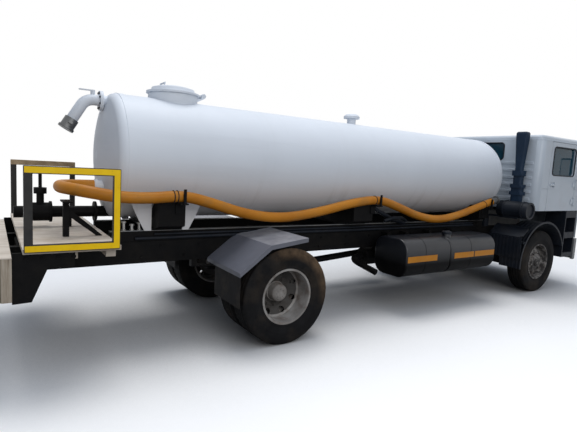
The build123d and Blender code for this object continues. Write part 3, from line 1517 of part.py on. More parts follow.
save("rear_tyres_right", *[flip(t) for t in rear_tyres])
save("rear_rims_left", rear_rim())
save("rear_rims_right", flip(rear_rim()))
save("front_tyre_left", front_tyre)
save("front_tyre_right", flip(front_tyre))
save("front_rim_left", front_rim())
save("front_rim_right", flip(front_rim()))
save("rear_axle", rear_axle())
rear_pack = leaf_pack(0, REAR_LEAVES, REAR_EYE_Z)
front_pack = leaf_pack(WHEELBASE, FRONT_LEAVES, FRONT_EYE_Z)
save("leaf_springs", *pair(rear_pack), *pair(front_pack))
save("front_axle", front_axle())
save("knuckle_left", knuckle())
save("knuckle_right", flip(knuckle()))
save("rear_mudguards", *pair(rear_mudguard()))
save("mud_flaps", *pair(mud_flap()))
save("front_mudguards", *pair(front_mudguard()))
save("fuel_tanks", *fuel_tanks())
save("silencer", silencer())
save("engine", engine())
save("propeller_shaft", propeller_shaft())
save("air_tanks", *air_tanks())
save("battery_box", battery_box())
save("vacuum_pump", vacuum_pump())
save("air_cleaner", air_cleaner())
save("snorkel", snorkel())
save("cab_floor", cab_floor())
save("cab_back", cab_back())
save("cab_roof", cab_roof())
save("cab_front", cab_front(), *hinge_lugs(), *[flip(lug) for lug in hinge_lugs()])
save("cab_glass", windscreen(), rear_window())
save("door_left", door())
save("door_right", flip(door()))
save("door_glass_left", door_glass())
save("door_glass_right", flip(door_glass()))
save("grille", grille())
save("bumper", bumper())
save("head_lamps", *head_lamps())
save("mirrors", *mirrors())
save("cab_steps", *cab_steps())
save("seats", *seats())
save("dash", dash())
save("steering_wheel", steering_wheel())
save("hose", hose())
save("hose_coupling", hose_coupling())
save("hose_rest", hose_rest())
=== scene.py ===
import json
import math

import bmesh
import bpy
from mathutils import Matrix, Vector


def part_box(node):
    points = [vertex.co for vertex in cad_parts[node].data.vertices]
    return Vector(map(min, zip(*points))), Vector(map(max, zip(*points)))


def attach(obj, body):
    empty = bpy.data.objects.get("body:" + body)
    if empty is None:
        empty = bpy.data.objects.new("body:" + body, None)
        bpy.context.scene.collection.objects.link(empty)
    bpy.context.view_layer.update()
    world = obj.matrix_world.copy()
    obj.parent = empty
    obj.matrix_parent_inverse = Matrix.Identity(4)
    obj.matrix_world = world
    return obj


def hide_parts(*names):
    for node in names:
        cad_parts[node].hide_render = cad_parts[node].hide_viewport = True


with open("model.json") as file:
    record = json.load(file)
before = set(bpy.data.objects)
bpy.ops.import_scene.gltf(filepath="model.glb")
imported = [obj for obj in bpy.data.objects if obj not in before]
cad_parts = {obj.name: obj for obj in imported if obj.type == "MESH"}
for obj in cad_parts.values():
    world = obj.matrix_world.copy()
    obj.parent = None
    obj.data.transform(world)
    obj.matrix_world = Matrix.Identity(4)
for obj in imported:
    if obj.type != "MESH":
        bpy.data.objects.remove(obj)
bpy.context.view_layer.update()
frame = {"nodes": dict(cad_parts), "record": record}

NODES = frame["nodes"]
SCENE = bpy.context.scene

# The truck's stations run from the rear axle in the drawings, so this brings them to the frame.
X_MID = 1.86
WHEELBASE = 5.2
AXLE_REAR = -X_MID
AXLE_FRONT = WHEELBASE - X_MID
TYRE_R = 0.525
TYRE_W = 0.28
DUAL_Y = 0.9325
DUAL_GAP = 0.035
FRONT_Y = 1.010
RAIL_OUT = 0.430
FUEL_Y = -1.150
# Guard frames: rear, front, low and high edges.
GUARD_BOX = (-2.419 - X_MID, -1.723 - X_MID, 1.144, 1.804)
# Sides of the truck: the name and the sign of y.
SIDES = (("left", 1), ("right", -1))

# Camera: the photograph's width in pixels, the sensor's width, the focal length in pixels, the place and angles.
PHOTO_W = 577
SENSOR_MM = 36.0
FOCAL_PX = 450.0
EYE = Vector((-2.6215 - X_MID, -5.0753, 1.9047))
YAW, PITCH, ROLL = (math.radians(a) for a in (56.29, -6.29, -3.23))


# Scene, camera, light and floor.
def add_camera():
    forward = Vector((math.cos(YAW) * math.cos(PITCH), math.sin(YAW) * math.cos(PITCH), math.sin(PITCH)))
    right = forward.cross(Vector((0, 0, 1))).normalized()
    up = right.cross(forward)
    turned_right = right * math.cos(ROLL) - up * math.sin(ROLL)
    turned_up = right * math.sin(ROLL) + up * math.cos(ROLL)
    data = bpy.data.cameras.new("photo_camera")
    data.sensor_width = SENSOR_MM
    data.lens = FOCAL_PX * SENSOR_MM / PHOTO_W
    data.clip_end = 200
    camera = bpy.data.objects.new("photo_camera", data)
    SCENE.collection.objects.link(camera)
    rows = Matrix((turned_right, turned_up, -forward)).transposed().to_4x4()
    camera.matrix_world = Matrix.Translation(EYE) @ rows
    SCENE.camera = camera


def seen_directly(tree):
    """1 where a ray comes straight from the camera, or by a mirror or glass, else 0."""
    path = tree.nodes.new("ShaderNodeLightPath")
    total = path.outputs["Is Camera Ray"]
    for name in ("Is Glossy Ray", "Is Transmission Ray"):
        larger = tree.nodes.new("ShaderNodeMath")
        larger.operation = "MAXIMUM"
        tree.links.new(total, larger.inputs[0])
        tree.links.new(path.outputs[name], larger.inputs[1])
        total = larger.outputs[0]
    return total


def set_ramp(ramp, stops):
    """Give a colour ramp its stops: columns are the place and the colour."""
    while len(ramp.elements) < len(stops):
        ramp.elements.new(0.5)
    for element, (place, colour) in zip(ramp.elements, stops):
        element.position = place
        element.color = (*colour, 1)


# Sockets of a mix node that is set to colours.
MIX_A, MIX_B, MIX_OUT = 6, 7, 2


def colour_mix(tree):
    node = tree.nodes.new("ShaderNodeMix")
    node.data_type = "RGBA"
    return node


# Light from all round: columns are the height, 0 straight down and 1 straight up, and the colour.
SKY_TONES = [(0.42, (0.05, 0.048, 0.046)), (0.52, (0.19, 0.205, 0.235)), (0.9, (0.44, 0.50, 0.60))]
SEEN_WHITE = (1, 1, 1, 1)


def add_world():
    """White where it is seen; as a source of light, a dim sky over dark ground."""
    world = bpy.data.worlds.new("studio")
    SCENE.world = world
    world.use_nodes = True
    tree = world.node_tree
    tree.nodes.clear()
    coords = tree.nodes.new("ShaderNodeTexCoord")
    split = tree.nodes.new("ShaderNodeSeparateXYZ")
    tree.links.new(coords.outputs["Generated"], split.inputs[0])
    height = tree.nodes.new("ShaderNodeMath")
    height.operation = "MULTIPLY_ADD"
    height.inputs[1].default_value = 0.5
    height.inputs[2].default_value = 0.5
    tree.links.new(split.outputs["Z"], height.inputs[0])
    sky = tree.nodes.new("ShaderNodeValToRGB")
    set_ramp(sky.color_ramp, SKY_TONES)
    tree.links.new(height.outputs[0], sky.inputs[0])
    mix = colour_mix(tree)
    mix.inputs[MIX_B].default_value = SEEN_WHITE
    tree.links.new(sky.outputs[0], mix.inputs[MIX_A])
    tree.links.new(seen_directly(tree), mix.inputs[0])
    back = tree.nodes.new("ShaderNodeBackground")
    out = tree.nodes.new("ShaderNodeOutputWorld")
    tree.links.new(mix.outputs[MIX_OUT], back.inputs[0])
    tree.links.new(back.outputs[0], out.inputs[0])


# Floor: its width, the colour by which it lights the truck, and the distances between which it fades out.
FLOOR_SIZE = 120
FLOOR_BOUNCE = (0.10, 0.097, 0.094, 1)
FLOOR_FADE = (6.5, 11.0)
# Its seen colour within this reach of the truck: columns are the openness and the colour.
SHADOW_REACH = 2.7
SHADOW_TONES = [(0.15, (0.34, 0.335, 0.33)), (0.88, (1.0, 0.985, 0.965))]


def add_floor():
    bpy.ops.mesh.primitive_plane_add(size=FLOOR_SIZE, location=(0, 0, 0))
    floor = bpy.context.object
    floor.name = "studio_floor"
    mat = bpy.data.materials.new("floor_pale")
    mat.use_nodes = True
    tree = mat.node_tree
    bsdf = tree.nodes["Principled BSDF"]
    bsdf.inputs["Roughness"].default_value = 0.95
    bsdf.inputs["Specular IOR Level"].default_value = 0.0
    mix = colour_mix(tree)
    mix.inputs[MIX_A].default_value = FLOOR_BOUNCE
    # The seen colour deepens close under the object, as the photo's soft shadow does.
    near = tree.nodes.new("ShaderNodeAmbientOcclusion")
    near.inputs["Distance"].default_value = SHADOW_REACH
    shade = tree.nodes.new("ShaderNodeValToRGB")
    set_ramp(shade.color_ramp, SHADOW_TONES)
    tree.links.new(near.outputs["AO"], shade.inputs[0])
    tree.links.new(shade.outputs[0], mix.inputs[MIX_B])
    tree.links.new(seen_directly(tree), mix.inputs[0])
    tree.links.new(mix.outputs[MIX_OUT], bsdf.inputs["Base Color"])
    # The floor fades into the white round it, so no far edge shows.
    place = tree.nodes.new("ShaderNodeNewGeometry")
    reach = tree.nodes.new("ShaderNodeVectorMath")
    reach.operation = "LENGTH"
    tree.links.new(place.outputs["Position"], reach.inputs[0])
    edge = tree.nodes.new("ShaderNodeMapRange")
    edge.inputs["From Min"].default_value = FLOOR_FADE[0]
    edge.inputs["From Max"].default_value = FLOOR_FADE[1]
    tree.links.new(reach.outputs["Value"], edge.inputs["Value"])
    clear = tree.nodes.new("ShaderNodeBsdfTransparent")
    blend = tree.nodes.new("ShaderNodeMixShader")
    tree.links.new(edge.outputs["Result"], blend.inputs[0])
    tree.links.new(bsdf.outputs[0], blend.inputs[1])
    tree.links.new(clear.outputs[0], blend.inputs[2])
    tree.links.new(blend.outputs[0], tree.nodes["Material Output"].inputs[0])
    floor.data.materials.append(mat)


# Lamps: columns are the name, place, aim, width in metres and power in watts.
LAMPS = [
    ("sky_panel", (0.3, 3.0, 21.0), (0, 0, 1.0), 12.0, 2150),
    ("side_panel", (-3.0, -9.5, 5.0), (0, 0, 1.4), 7.0, 370),
]


def add_light(name, place, aim, size, power):
    data = bpy.data.lights.new(name, "AREA")
    data.shape = "DISK"
    data.size = size
    data.energy = power
    lamp = bpy.data.objects.new(name, data)
    SCENE.collection.objects.link(lamp)
    lamp.location = place
    lamp.rotation_euler = (Vector(aim) - Vector(place)).to_track_quat("-Z", "Y").to_euler()


def add_studio():
    SCENE.view_settings.view_transform = "Standard"
    add_camera()
    add_world()
    add_floor()
    for lamp in LAMPS:
        add_light(*lamp)


# Materials. Most start from a colour, vary it with noise, and add dirt or wear; some also paint in shade, light
# or a reflection.
class Shade:
    """A material in the making: node helpers round one principled shader."""

    def __init__(self, name, rough=0.5, metal=0.0, coat=0.0, gloss=0.5):
        self.mat = bpy.data.materials.new(name)
        self.mat.use_nodes = True
        self.tree = self.mat.node_tree
        self.bsdf = self.tree.nodes["Principled BSDF"]
        self.bsdf.inputs["Roughness"].default_value = rough
        self.bsdf.inputs["Metallic"].default_value = metal
        self.bsdf.inputs["Coat Weight"].default_value = coat
        self.bsdf.inputs["Specular IOR Level"].default_value = gloss
        self.coords = self.tree.nodes.new("ShaderNodeTexCoord").outputs["Object"]

    def node(self, kind):
        return self.tree.nodes.new(kind)

    def link(self, a, b):
        self.tree.links.new(a, b)

    def stretch(self, scale):
        mapping = self.node("ShaderNodeMapping")
        mapping.inputs["Scale"].default_value = scale
        self.link(self.coords, mapping.inputs[0])
        return mapping.outputs[0]

    def noise(self, scale, detail=4.0, rough=0.55, vector=None):
        tex = self.node("ShaderNodeTexNoise")
        tex.inputs["Scale"].default_value = scale
        tex.inputs["Detail"].default_value = detail
        tex.inputs["Roughness"].default_value = rough
        self.link(vector or self.coords, tex.inputs["Vector"])
        return tex.outputs["Fac"]

    def wave(self, scale, across="X", distortion=0.0):
        tex = self.node("ShaderNodeTexWave")
        tex.bands_direction = across
        tex.inputs["Scale"].default_value = scale
        tex.inputs["Distortion"].default_value = distortion
        self.link(self.coords, tex.inputs["Vector"])
        return tex.outputs["Fac"]

    def ramp(self, value, stops):
        node = self.node("ShaderNodeValToRGB")
        set_ramp(node.color_ramp, stops)
        self.link(value, node.inputs[0])
        return node.outputs[0]

    def fade(self, value, low, high):
        """0 at low and 1 at high."""
        node = self.node("ShaderNodeMapRange")
        node.inputs["From Min"].default_value = low
        node.inputs["From Max"].default_value = high
        self.link(value, node.inputs["Value"])
        return node.outputs["Result"]

    def split(self, vector, which):
        node = self.node("ShaderNodeSeparateXYZ")
        self.link(vector, node.inputs[0])
        return node.outputs[which]

    def axis(self, which):
        return self.split(self.coords, which)

    def normal(self, which):
        return self.split(self.node("ShaderNodeNewGeometry").outputs["Normal"], which)

    def math(self, kind, a, b=0):
        node = self.node("ShaderNodeMath")
        node.operation = kind
        for socket, value in zip(node.inputs, (a, b)):
            if isinstance(value, (int, float)):
                socket.default_value = value
            else:
                self.link(value, socket)
        return node.outputs[0]

    def times(self, first, *more):
        for value in more:
            first = self.math("MULTIPLY", first, value)
        return first

    def mix(self, factor, a, b):
        node = colour_mix(self.tree)
        self.link(factor, node.inputs[0])
        for socket, value in ((node.inputs[MIX_A], a), (node.inputs[MIX_B], b)):
            if isinstance(value, tuple):
                socket.default_value = (*value, 1)
            else:
                self.link(value, socket)
        return node.outputs[MIX_OUT]

    def colour(self, socket):
        self.link(socket, self.bsdf.inputs["Base Color"])

    def rough(self, value, low, high):
        node = self.node("ShaderNodeMapRange")
        node.inputs["To Min"].default_value = low
        node.inputs["To Max"].default_value = high
        self.link(value, node.inputs["Value"])
        self.link(node.outputs["Result"], self.bsdf.inputs["Roughness"])

    def bump(self, value, strength, distance):
        node = self.node("ShaderNodeBump")
        node.inputs["Strength"].default_value = strength
        node.inputs["Distance"].default_value = distance
        self.link(value, node.inputs["Height"])
        self.link(node.outputs[0], self.bsdf.inputs["Normal"])

    def peel(self):
        """The fine waviness of sprayed paint."""
        self.bump(self.noise(160.0, 3.0), 0.04, 0.002)


def tint(colour, factor):
    return tuple(min(1.0, c * factor) for c in colour)


DUST = (0.30, 0.25, 0.19)
# Worn paints: columns are the colour, roughness, coat, dirt, the heights below which dirt is thick and above
# which it is thin, the depth of the mottle, metal and gloss.
PAINTS = {
    "cab_white": ((0.50, 0.555, 0.615), 0.36, 0.1, 0.15, 1.2, 1.9, 0.03, 0.0, 0.4),
    "chassis_black": ((0.0030, 0.0030, 0.0034), 0.55, 0.0, 0.03, 0.3, 1.3, 0.3, 0.0, 0.07),
    "engine_grey": ((0.10, 0.10, 0.10), 0.6, 0.0, 0.4, 0.5, 1.4, 0.2, 0.0, 0.4),
    "tape_orange": ((0.50, 0.19, 0.006), 0.4, 0.0, 0.12, 0.4, 1.0, 0.14, 0.0, 0.25),
    "bare_steel": ((0.30, 0.295, 0.285), 0.42, 0.0, 0.3, 0.4, 1.6, 0.15, 0.7, 0.4),
    "black_plastic": ((0.0080, 0.0108, 0.0165), 0.48, 0.0, 0.05, 0.4, 1.6, 0.2, 0.0, 0.14),
    "snorkel_navy": ((0.0110, 0.0245, 0.0490), 0.50, 0.0, 0.05, 0.4, 1.6, 0.2, 0.0, 0.14),
    "flap_rubber": ((0.009, 0.009, 0.010), 0.7, 0.0, 0.12, 0.3, 1.2, 0.2, 0.0, 0.15),
    "bumper_grey": ((0.16, 0.165, 0.17), 0.42, 0.0, 0.3, 0.3, 1.2, 0.08, 0.0, 0.4),
    "coupling_grey": ((0.11, 0.115, 0.12), 0.4, 0.0, 0.3, 1.0, 1.8, 0.12, 0.6, 0.4),
}


def worn_paint(name, colour, rough, coat, dirt, dirt_low, dirt_high, grain, metal, gloss):
    """Paint with a slight mottle, dust that thickens towards the ground and a fine orange-peel."""
    s = Shade(name, rough, metal, coat, gloss)
    mottle = s.noise(3.1, 6.0)
    base = s.ramp(mottle, [(0.3, tint(colour, 1 - grain)), (0.5, colour), (0.72, tint(colour, 1 + grain))])
    patches = s.fade(s.noise(5.5, 8.0, 0.65), 0.46, 0.72)
    low = s.fade(s.axis("Z"), dirt_high, dirt_low)
    film = s.times(s.math("ADD", s.times(low, 0.7), 0.3), patches, dirt)
    s.colour(s.mix(film, base, DUST))
    s.rough(s.noise(14.0, 5.0), rough - 0.08, rough + 0.14)
    s.peel()
    return s.mat


def mudguard_paint():
    """Grey sheet steel, with a paler grey painted in patches on the flat top: painted light from above."""
    s = Shade("mudguard_grey", 0.42, gloss=0.3)
    steel = s.ramp(s.noise(3.1, 6.0), [(0.3, (0.115, 0.119, 0.141)), (0.72, (0.150, 0.156, 0.184))])
    # Painted light: the upward faces take a paler grey in patches, as if lit from above.
    flat = s.fade(s.normal("Z"), 0.86, 0.97)
    top_light = s.times(flat, s.fade(s.noise(6.0, 8.0, 0.65), 0.25, 0.6))
    s.colour(s.mix(top_light, steel, (0.25, 0.252, 0.272)))
    s.rough(s.noise(14.0, 5.0), 0.34, 0.56)
    s.peel()
    return s.mat


def fuel_paint():
    """Black gloss, darker in colour and duller towards the bottom."""
    s = Shade("fuel_black", 0.34, gloss=0.3)
    upper_black = s.ramp(s.noise(3.0, 6.0), [(0.3, (0.006, 0.007, 0.010)), (0.7, (0.012, 0.0135, 0.018))])
    shine = s.fade(s.axis("Z"), 0.69, 0.90)
    # The lower half takes a darker black, and its gloss falls away towards the bottom.
    film = s.ramp(s.noise(6.0, 7.0), [(0.3, (0.0035, 0.0035, 0.004)), (0.7, (0.007, 0.0068, 0.0068))])
    s.colour(s.mix(shine, film, upper_black))
    level = s.math("ADD", s.times(shine, 0.42), 0.03)
    s.link(level, s.bsdf.inputs["Specular IOR Level"])
    s.rough(s.noise(8.0, 5.0), 0.26, 0.44)
    return s.mat


def tank_paint():
    """Cool white, faintly banded along its length, with a warm tint on the lower half that is a painted
    reflection of the ground, and a streaked road film lowest down.
    """
    s = Shade("tank_white", 0.5, gloss=0.35)
    colour = (0.70, 0.740, 0.795)
    mottle = s.noise(1.4, 5.0)
    base = s.ramp(mottle, [(0.3, tint(colour, 0.965)), (0.55, colour), (0.75, tint(colour, 1.02))])
    band = s.fade(s.noise(1.0, 5.0, 0.55, s.stretch((0.35, 1.0, 4.5))), 0.50, 0.68)
    base = s.mix(s.times(band, 0.4), base, tint(colour, 0.85))
    # Painted reflection of the ground: a warm tint over the lower half.
    ground_reflection = s.fade(s.axis("Z"), 1.95, 1.45)
    base = s.mix(s.times(ground_reflection, 0.35), base, (0.66, 0.57, 0.50))
    streak = s.fade(s.noise(1.0, 6.0, 0.6, s.stretch((9.0, 0.7, 0.7))), 0.55, 0.78)
    low = s.fade(s.axis("Z"), 1.75, 1.27)
    film = s.times(s.math("ADD", s.times(low, 0.55), 0.04), s.math("ADD", streak, 0.25))
    s.colour(s.mix(film, base, (0.33, 0.30, 0.27)))
    s.rough(s.noise(9.0, 5.0), 0.44, 0.58)
    s.bump(s.noise(2.2, 3.0), 0.06, 0.02)
    return s.mat


def deck_plate():
    """Pale boards, streaked along the deck, with brown stains."""
    s = Shade("deck_tan", 0.62)
    broad = s.noise(2.0, 5.0, 0.55, s.stretch((1.0, 7.0, 1.0)))
    tones = [(0.28, (0.43, 0.36, 0.285)), (0.48, (0.56, 0.49, 0.41)), (0.66, (0.64, 0.575, 0.495))]
    stain = s.fade(s.noise(3.0, 6.0), 0.54, 0.74)
    s.colour(s.mix(s.times(stain, 0.45), s.ramp(broad, tones), (0.22, 0.155, 0.095)))
    s.bump(s.noise(30.0, 6.0), 0.25, 0.004)
    return s.mat


def deck_boards():
    """Weathered wood with its grain upright."""
    s = Shade("board_tan", 0.7)
    grain = s.noise(3.0, 8.0, 0.6, s.stretch((14.0, 14.0, 1.2)))
    tones = [(0.3, (0.20, 0.155, 0.11)), (0.5, (0.37, 0.31, 0.24)), (0.7, (0.50, 0.44, 0.36))]
    stain = s.fade(s.noise(4.0, 5.0), 0.52, 0.72)
    s.colour(s.mix(s.times(stain, 0.25), s.ramp(grain, tones), (0.17, 0.13, 0.095)))
    s.bump(grain, 0.3, 0.004)
    return s.mat


# Clay lies on the outermost part of the rear tyres: its width, and where it begins from the truck's middle.
CLAY_W = 0.032
CLAY_Y = DUAL_Y + DUAL_GAP / 2 + TYRE_W - CLAY_W


def wheel_polar(s):
    """Distances from the rear axle's centre line, along, up and straight."""
    dx = s.math("SUBTRACT", s.axis("X"), AXLE_REAR)
    dz = s.math("SUBTRACT", s.axis("Z"), TYRE_R)
    return dx, dz, s.math("SQRT", s.math("ADD", s.times(dx, dx), s.times(dz, dz)))


def tyre_rubber():
    """Dusty rubber, with an arc of dried clay on the rear tyres' outer walls."""
    s = Shade("tyre_rubber", 0.75, gloss=0.08)
    base = s.ramp(s.noise(6.0, 6.0), [(0.3, (0.005, 0.005, 0.0055)), (0.6, (0.010, 0.010, 0.0108))])
    dust = s.fade(s.noise(2.4, 8.0, 0.6), 0.48, 0.72)
    worn = s.mix(s.times(dust, 0.28), base, (0.10, 0.078, 0.058))
    dx, dz, r = wheel_polar(s)
    lean = s.math("ADD", s.times(dx, 0.62), s.times(dz, 0.78))
    rear = s.math("LESS_THAN", s.axis("X"), 0.0)
    outer = s.math("GREATER_THAN", s.math("ABSOLUTE", s.axis("Y")), CLAY_Y)
    arc = s.times(s.fade(lean, 0.16, 0.44), s.fade(r, 0.39, 0.47), rear, outer)
    clay = s.times(arc, s.fade(s.noise(9.0, 8.0, 0.65), 0.22, 0.72))
    s.colour(s.mix(clay, worn, (0.165, 0.108, 0.064)))
    s.bump(s.noise(60.0, 5.0), 0.2, 0.003)
    return s.mat


def rim_steel():
    """Rusty grey steel with painted shade between the hub and the barrel at the rear, and caked with dirt at the
    front.
    """
    s = Shade("rim_grey", 0.6, gloss=0.15)
    tones = [(0.3, (0.17, 0.158, 0.147)), (0.52, (0.28, 0.262, 0.245)), (0.7, (0.37, 0.358, 0.34))]
    rust = s.fade(s.noise(9.0, 8.0, 0.65), 0.5, 0.68)
    worn = s.mix(s.times(rust, 0.5), s.ramp(s.noise(5.0, 6.0), tones), (0.11, 0.06, 0.035))
    r = wheel_polar(s)[2]
    # Painted shade in the rear wheels' dished discs, deeper on the faces that look along the axle.
    facing = s.math("GREATER_THAN", s.math("ABSOLUTE", s.normal("Y")), 0.75)
    disc = s.times(s.math("GREATER_THAN", r, 0.112), s.math("LESS_THAN", r, 0.26))
    shaded = s.math("ADD", s.times(facing, 0.35), 0.5)
    disc_shade = s.times(shaded, disc, s.math("LESS_THAN", s.axis("X"), 0.0))
    front = s.math("GREATER_THAN", s.axis("X"), 0.0)
    caked = s.times(s.fade(s.noise(14.0, 6.0), 0.36, 0.56), front, 0.9)
    s.colour(s.mix(caked, s.mix(disc_shade, worn, (0.022, 0.020, 0.019)), (0.030, 0.028, 0.028)))
    s.rough(s.noise(20.0), 0.45, 0.75)
    s.bump(s.noise(45.0, 6.0), 0.18, 0.003)
    return s.mat


# Guard frames: the tape lies between these distances from the outline; then the width of a bar.
TAPE_FROM, TAPE_TO = 0.006, 0.053
BAR_W = 0.058


def guard_paint():
    """Black bars; the right frame has yellow tape, but not on its rear post, and the left one a tan top bar."""
    s = Shade("guard_yellow", 0.45, gloss=0.2)
    yellow = s.ramp(s.noise(7.0, 6.0), [(0.3, (0.90, 0.54, 0.003)), (0.6, (0.97, 0.63, 0.004))])
    grime = s.fade(s.noise(22.0, 8.0, 0.7), 0.56, 0.75)
    yellow = s.mix(s.times(grime, 0.3), yellow, (0.30, 0.20, 0.03))
    tan = s.ramp(s.noise(11.0, 7.0), [(0.3, (0.20, 0.135, 0.075)), (0.7, (0.42, 0.31, 0.19))])
    black = s.ramp(s.noise(9.0), [(0.3, (0.008, 0.008, 0.009)), (0.7, (0.022, 0.021, 0.02))])
    faced = s.math("GREATER_THAN", s.math("ABSOLUTE", s.normal("Y")), 0.5)
    x, z = s.axis("X"), s.axis("Z")
    rear, front, low, high = GUARD_BOX
    deep_x = s.math("MINIMUM", s.math("SUBTRACT", x, rear), s.math("SUBTRACT", front, x))
    deep_z = s.math("MINIMUM", s.math("SUBTRACT", z, low), s.math("SUBTRACT", high, z))
    deep = s.math("MINIMUM", deep_x, deep_z)
    inside = s.times(s.math("GREATER_THAN", deep, TAPE_FROM), s.math("LESS_THAN", deep, TAPE_TO))
    not_post = s.math("GREATER_THAN", x, rear + BAR_W)
    bar = s.math("MAXIMUM", not_post, s.math("LESS_THAN", deep_z, TAPE_TO))
    near = s.math("LESS_THAN", s.axis("Y"), 0.0)
    coat = s.mix(s.times(faced, inside, bar, near), black, yellow)
    far_top = s.times(s.math("SUBTRACT", 1.0, near), s.math("GREATER_THAN", z, high - BAR_W))
    s.colour(s.mix(far_top, coat, tan))
    s.bump(s.noise(70.0, 4.0), 0.08, 0.002)
    return s.mat


def mirror_glass():
    s = Shade("mirror_glass", 0.03, 1.0)
    s.colour(s.ramp(s.noise(4.0), [(0.3, (0.72, 0.74, 0.76)), (0.7, (0.82, 0.84, 0.86))]))
    s.rough(s.noise(30.0), 0.02, 0.08)
    return s.mat


def cab_glass():
    s = Shade("cab_glass", 0.05, gloss=0.14)
    s.colour(s.ramp(s.noise(2.0, 4.0), [(0.3, (0.010, 0.060, 0.095)), (0.7, (0.018, 0.082, 0.125))]))
    s.bsdf.inputs["Transmission Weight"].default_value = 0.3
    s.bsdf.inputs["IOR"].default_value = 1.45
    s.bump(s.noise(1.3, 2.0), 0.02, 0.004)
    return s.mat


def lamp_lens(name, colour, clear):
    """Ribbed plastic."""
    s = Shade(name, 0.18, gloss=0.2)
    ribs = s.wave(28.0, "Y")
    s.colour(s.ramp(ribs, [(0.2, tint(colour, 0.75)), (0.8, colour)]))
    s.bsdf.inputs["Transmission Weight"].default_value = clear
    s.bump(ribs, 0.3, 0.003)
    return s.mat


def seat_cloth():
    s = Shade("seat_cloth", 0.9)
    weave = s.wave(90.0, distortion=2.0)
    s.colour(s.ramp(weave, [(0.2, (0.03, 0.032, 0.04)), (0.8, (0.075, 0.078, 0.09))]))
    s.bsdf.inputs["Sheen Weight"].default_value = 0.3
    s.bump(weave, 0.3, 0.002)
    return s.mat


def hose_skin():
    s = Shade("hose_orange", 0.48, gloss=0.22)
    tones = [(0.3, (0.34, 0.118, 0.006)), (0.5, (0.45, 0.168, 0.010)), (0.72, (0.54, 0.215, 0.018))]
    grime = s.fade(s.noise(5.0, 8.0, 0.65), 0.5, 0.72)
    s.colour(s.mix(s.times(grime, 0.4), s.ramp(s.noise(2.5, 6.0), tones), (0.13, 0.08, 0.035)))
    s.rough(s.noise(12.0), 0.34, 0.56)
    s.bump(s.noise(80.0, 4.0), 0.12, 0.002)
    return s.mat


def make_materials():
    made = {name: worn_paint(name, *row) for name, row in PAINTS.items()}
    made.update(
        tank_white=tank_paint(), fuel_black=fuel_paint(), guard_yellow=guard_paint(), mirror=mirror_glass(),
        deck_tan=deck_plate(), board_tan=deck_boards(), mudguard_grey=mudguard_paint(), tyre=tyre_rubber(),
        rim_grey=rim_steel(), glass=cab_glass(), seat_cloth=seat_cloth(), hose_orange=hose_skin(),
        lamp_clear=lamp_lens("lamp_clear", (0.9, 0.92, 0.95), 0.6),
        lamp_red=lamp_lens("lamp_red", (0.45, 0.012, 0.010), 0.0))
    return made


MAT = make_materials()

# Edge radius of the CAD pieces by material slot, in metres, and that of all others.
SOFT_EDGE = {"cab_white": 0.008, "glass": 0.001, "tank_white": 0.003, "deck_tan": 0.003,
             "mudguard_grey": 0.0015}
SOFT_EDGE_ELSE = 0.004
# Pieces whose paint differs from their slot's.
NODE_PAINT = {"snorkel": "snorkel_navy"}
# Large rolled pieces that keep the normals of their own surface.
SMOOTH_NODES = {"tank", "air_tanks", "fuel_tanks", "silencer"}


def dress_nodes():
    """Give each CAD piece its material, and most of them softened edges."""
    for part in frame["record"]["subparts"]:
        node, slot = part["node"], part["material_slot"]
        obj = NODES[node]
        obj.data.materials.clear()
        obj.data.materials.append(MAT[NODE_PAINT.get(node, slot)])
        if node not in SMOOTH_NODES:
            soften(obj, SOFT_EDGE.get(slot, SOFT_EDGE_ELSE))


# Suction hose: the route's points, from the tank's nozzle to the coupling at the front.
HOSE_OD = 0.115
HOSE_ROUTE = [
    (-1.740, -0.150, 1.600), (-1.964, -0.150, 1.600), (-2.122, -0.425, 1.604), (-1.964, -0.700, 1.588),
    (-1.640, -0.700, 1.530), (-1.330, -0.700, 1.520), (-1.000, -0.700, 1.552), (-0.700, -0.700, 1.480),
    (-0.250, -0.700, 1.345), (0.230, -0.700, 1.298), (0.760, -0.700, 1.370), (1.250, -0.700, 1.478),
    (1.740, -0.700, 1.535), (2.130, -0.700, 1.425), (2.550, -0.700, 1.288), (3.000, -0.700, 1.225),
    (3.480, -0.700, 1.290), (3.950, -0.700, 1.415), (4.330, -0.700, 1.507),
]
HOSE_STEPS = 24


def route_curve(name, points):
    data = bpy.data.curves.new(name, "CURVE")
    data.dimensions = "3D"
    spline = data.splines.new("NURBS")
    spline.points.add(len(points) - 1)
    for point, (x, y, z) in zip(spline.points, points):
        point.co = (x - X_MID, y, z, 1)
    spline.order_u = 3
    spline.use_endpoint_u = True
    spline.resolution_u = HOSE_STEPS
    data.resolution_u = HOSE_STEPS
    return data


def add_hose():
    data = route_curve("suction_hose", HOSE_ROUTE)
    data.bevel_depth = HOSE_OD / 2
    data.bevel_resolution = 6
    data.use_fill_caps = True
    hose = bpy.data.objects.new("suction_hose", data)
    SCENE.collection.objects.link(hose)
    data.materials.append(MAT["hose_orange"])
    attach(hose, "chassis")
    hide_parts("hose")


# Mesh helpers.
def skin(bm, rings, closed):
    """Join rings that go once round an axis; closed joins each ring's ends too."""
    count = len(rings[0])
    for a, b in zip(rings, rings[1:] + rings[:1]):
        for j in range(count if closed else count - 1):
            k = (j + 1) % count
            bm.faces.new((a[j], a[k], b[k], b[j]))


def lathe(bm, profile, centre, axis, steps, closed=False):
    """Turn (along, radius) points about an axis through centre."""
    rings = []
    for i in range(steps):
        a = 2 * math.pi * i / steps
        ring = []
        for along, r in profile:
            u, v = r * math.cos(a), r * math.sin(a)
            offset = {"X": (along, u, v), "Z": (u, v, along)}[axis]
            ring.append(bm.verts.new(Vector(centre) + Vector(offset)))
        rings.append(ring)
    skin(bm, rings, closed)


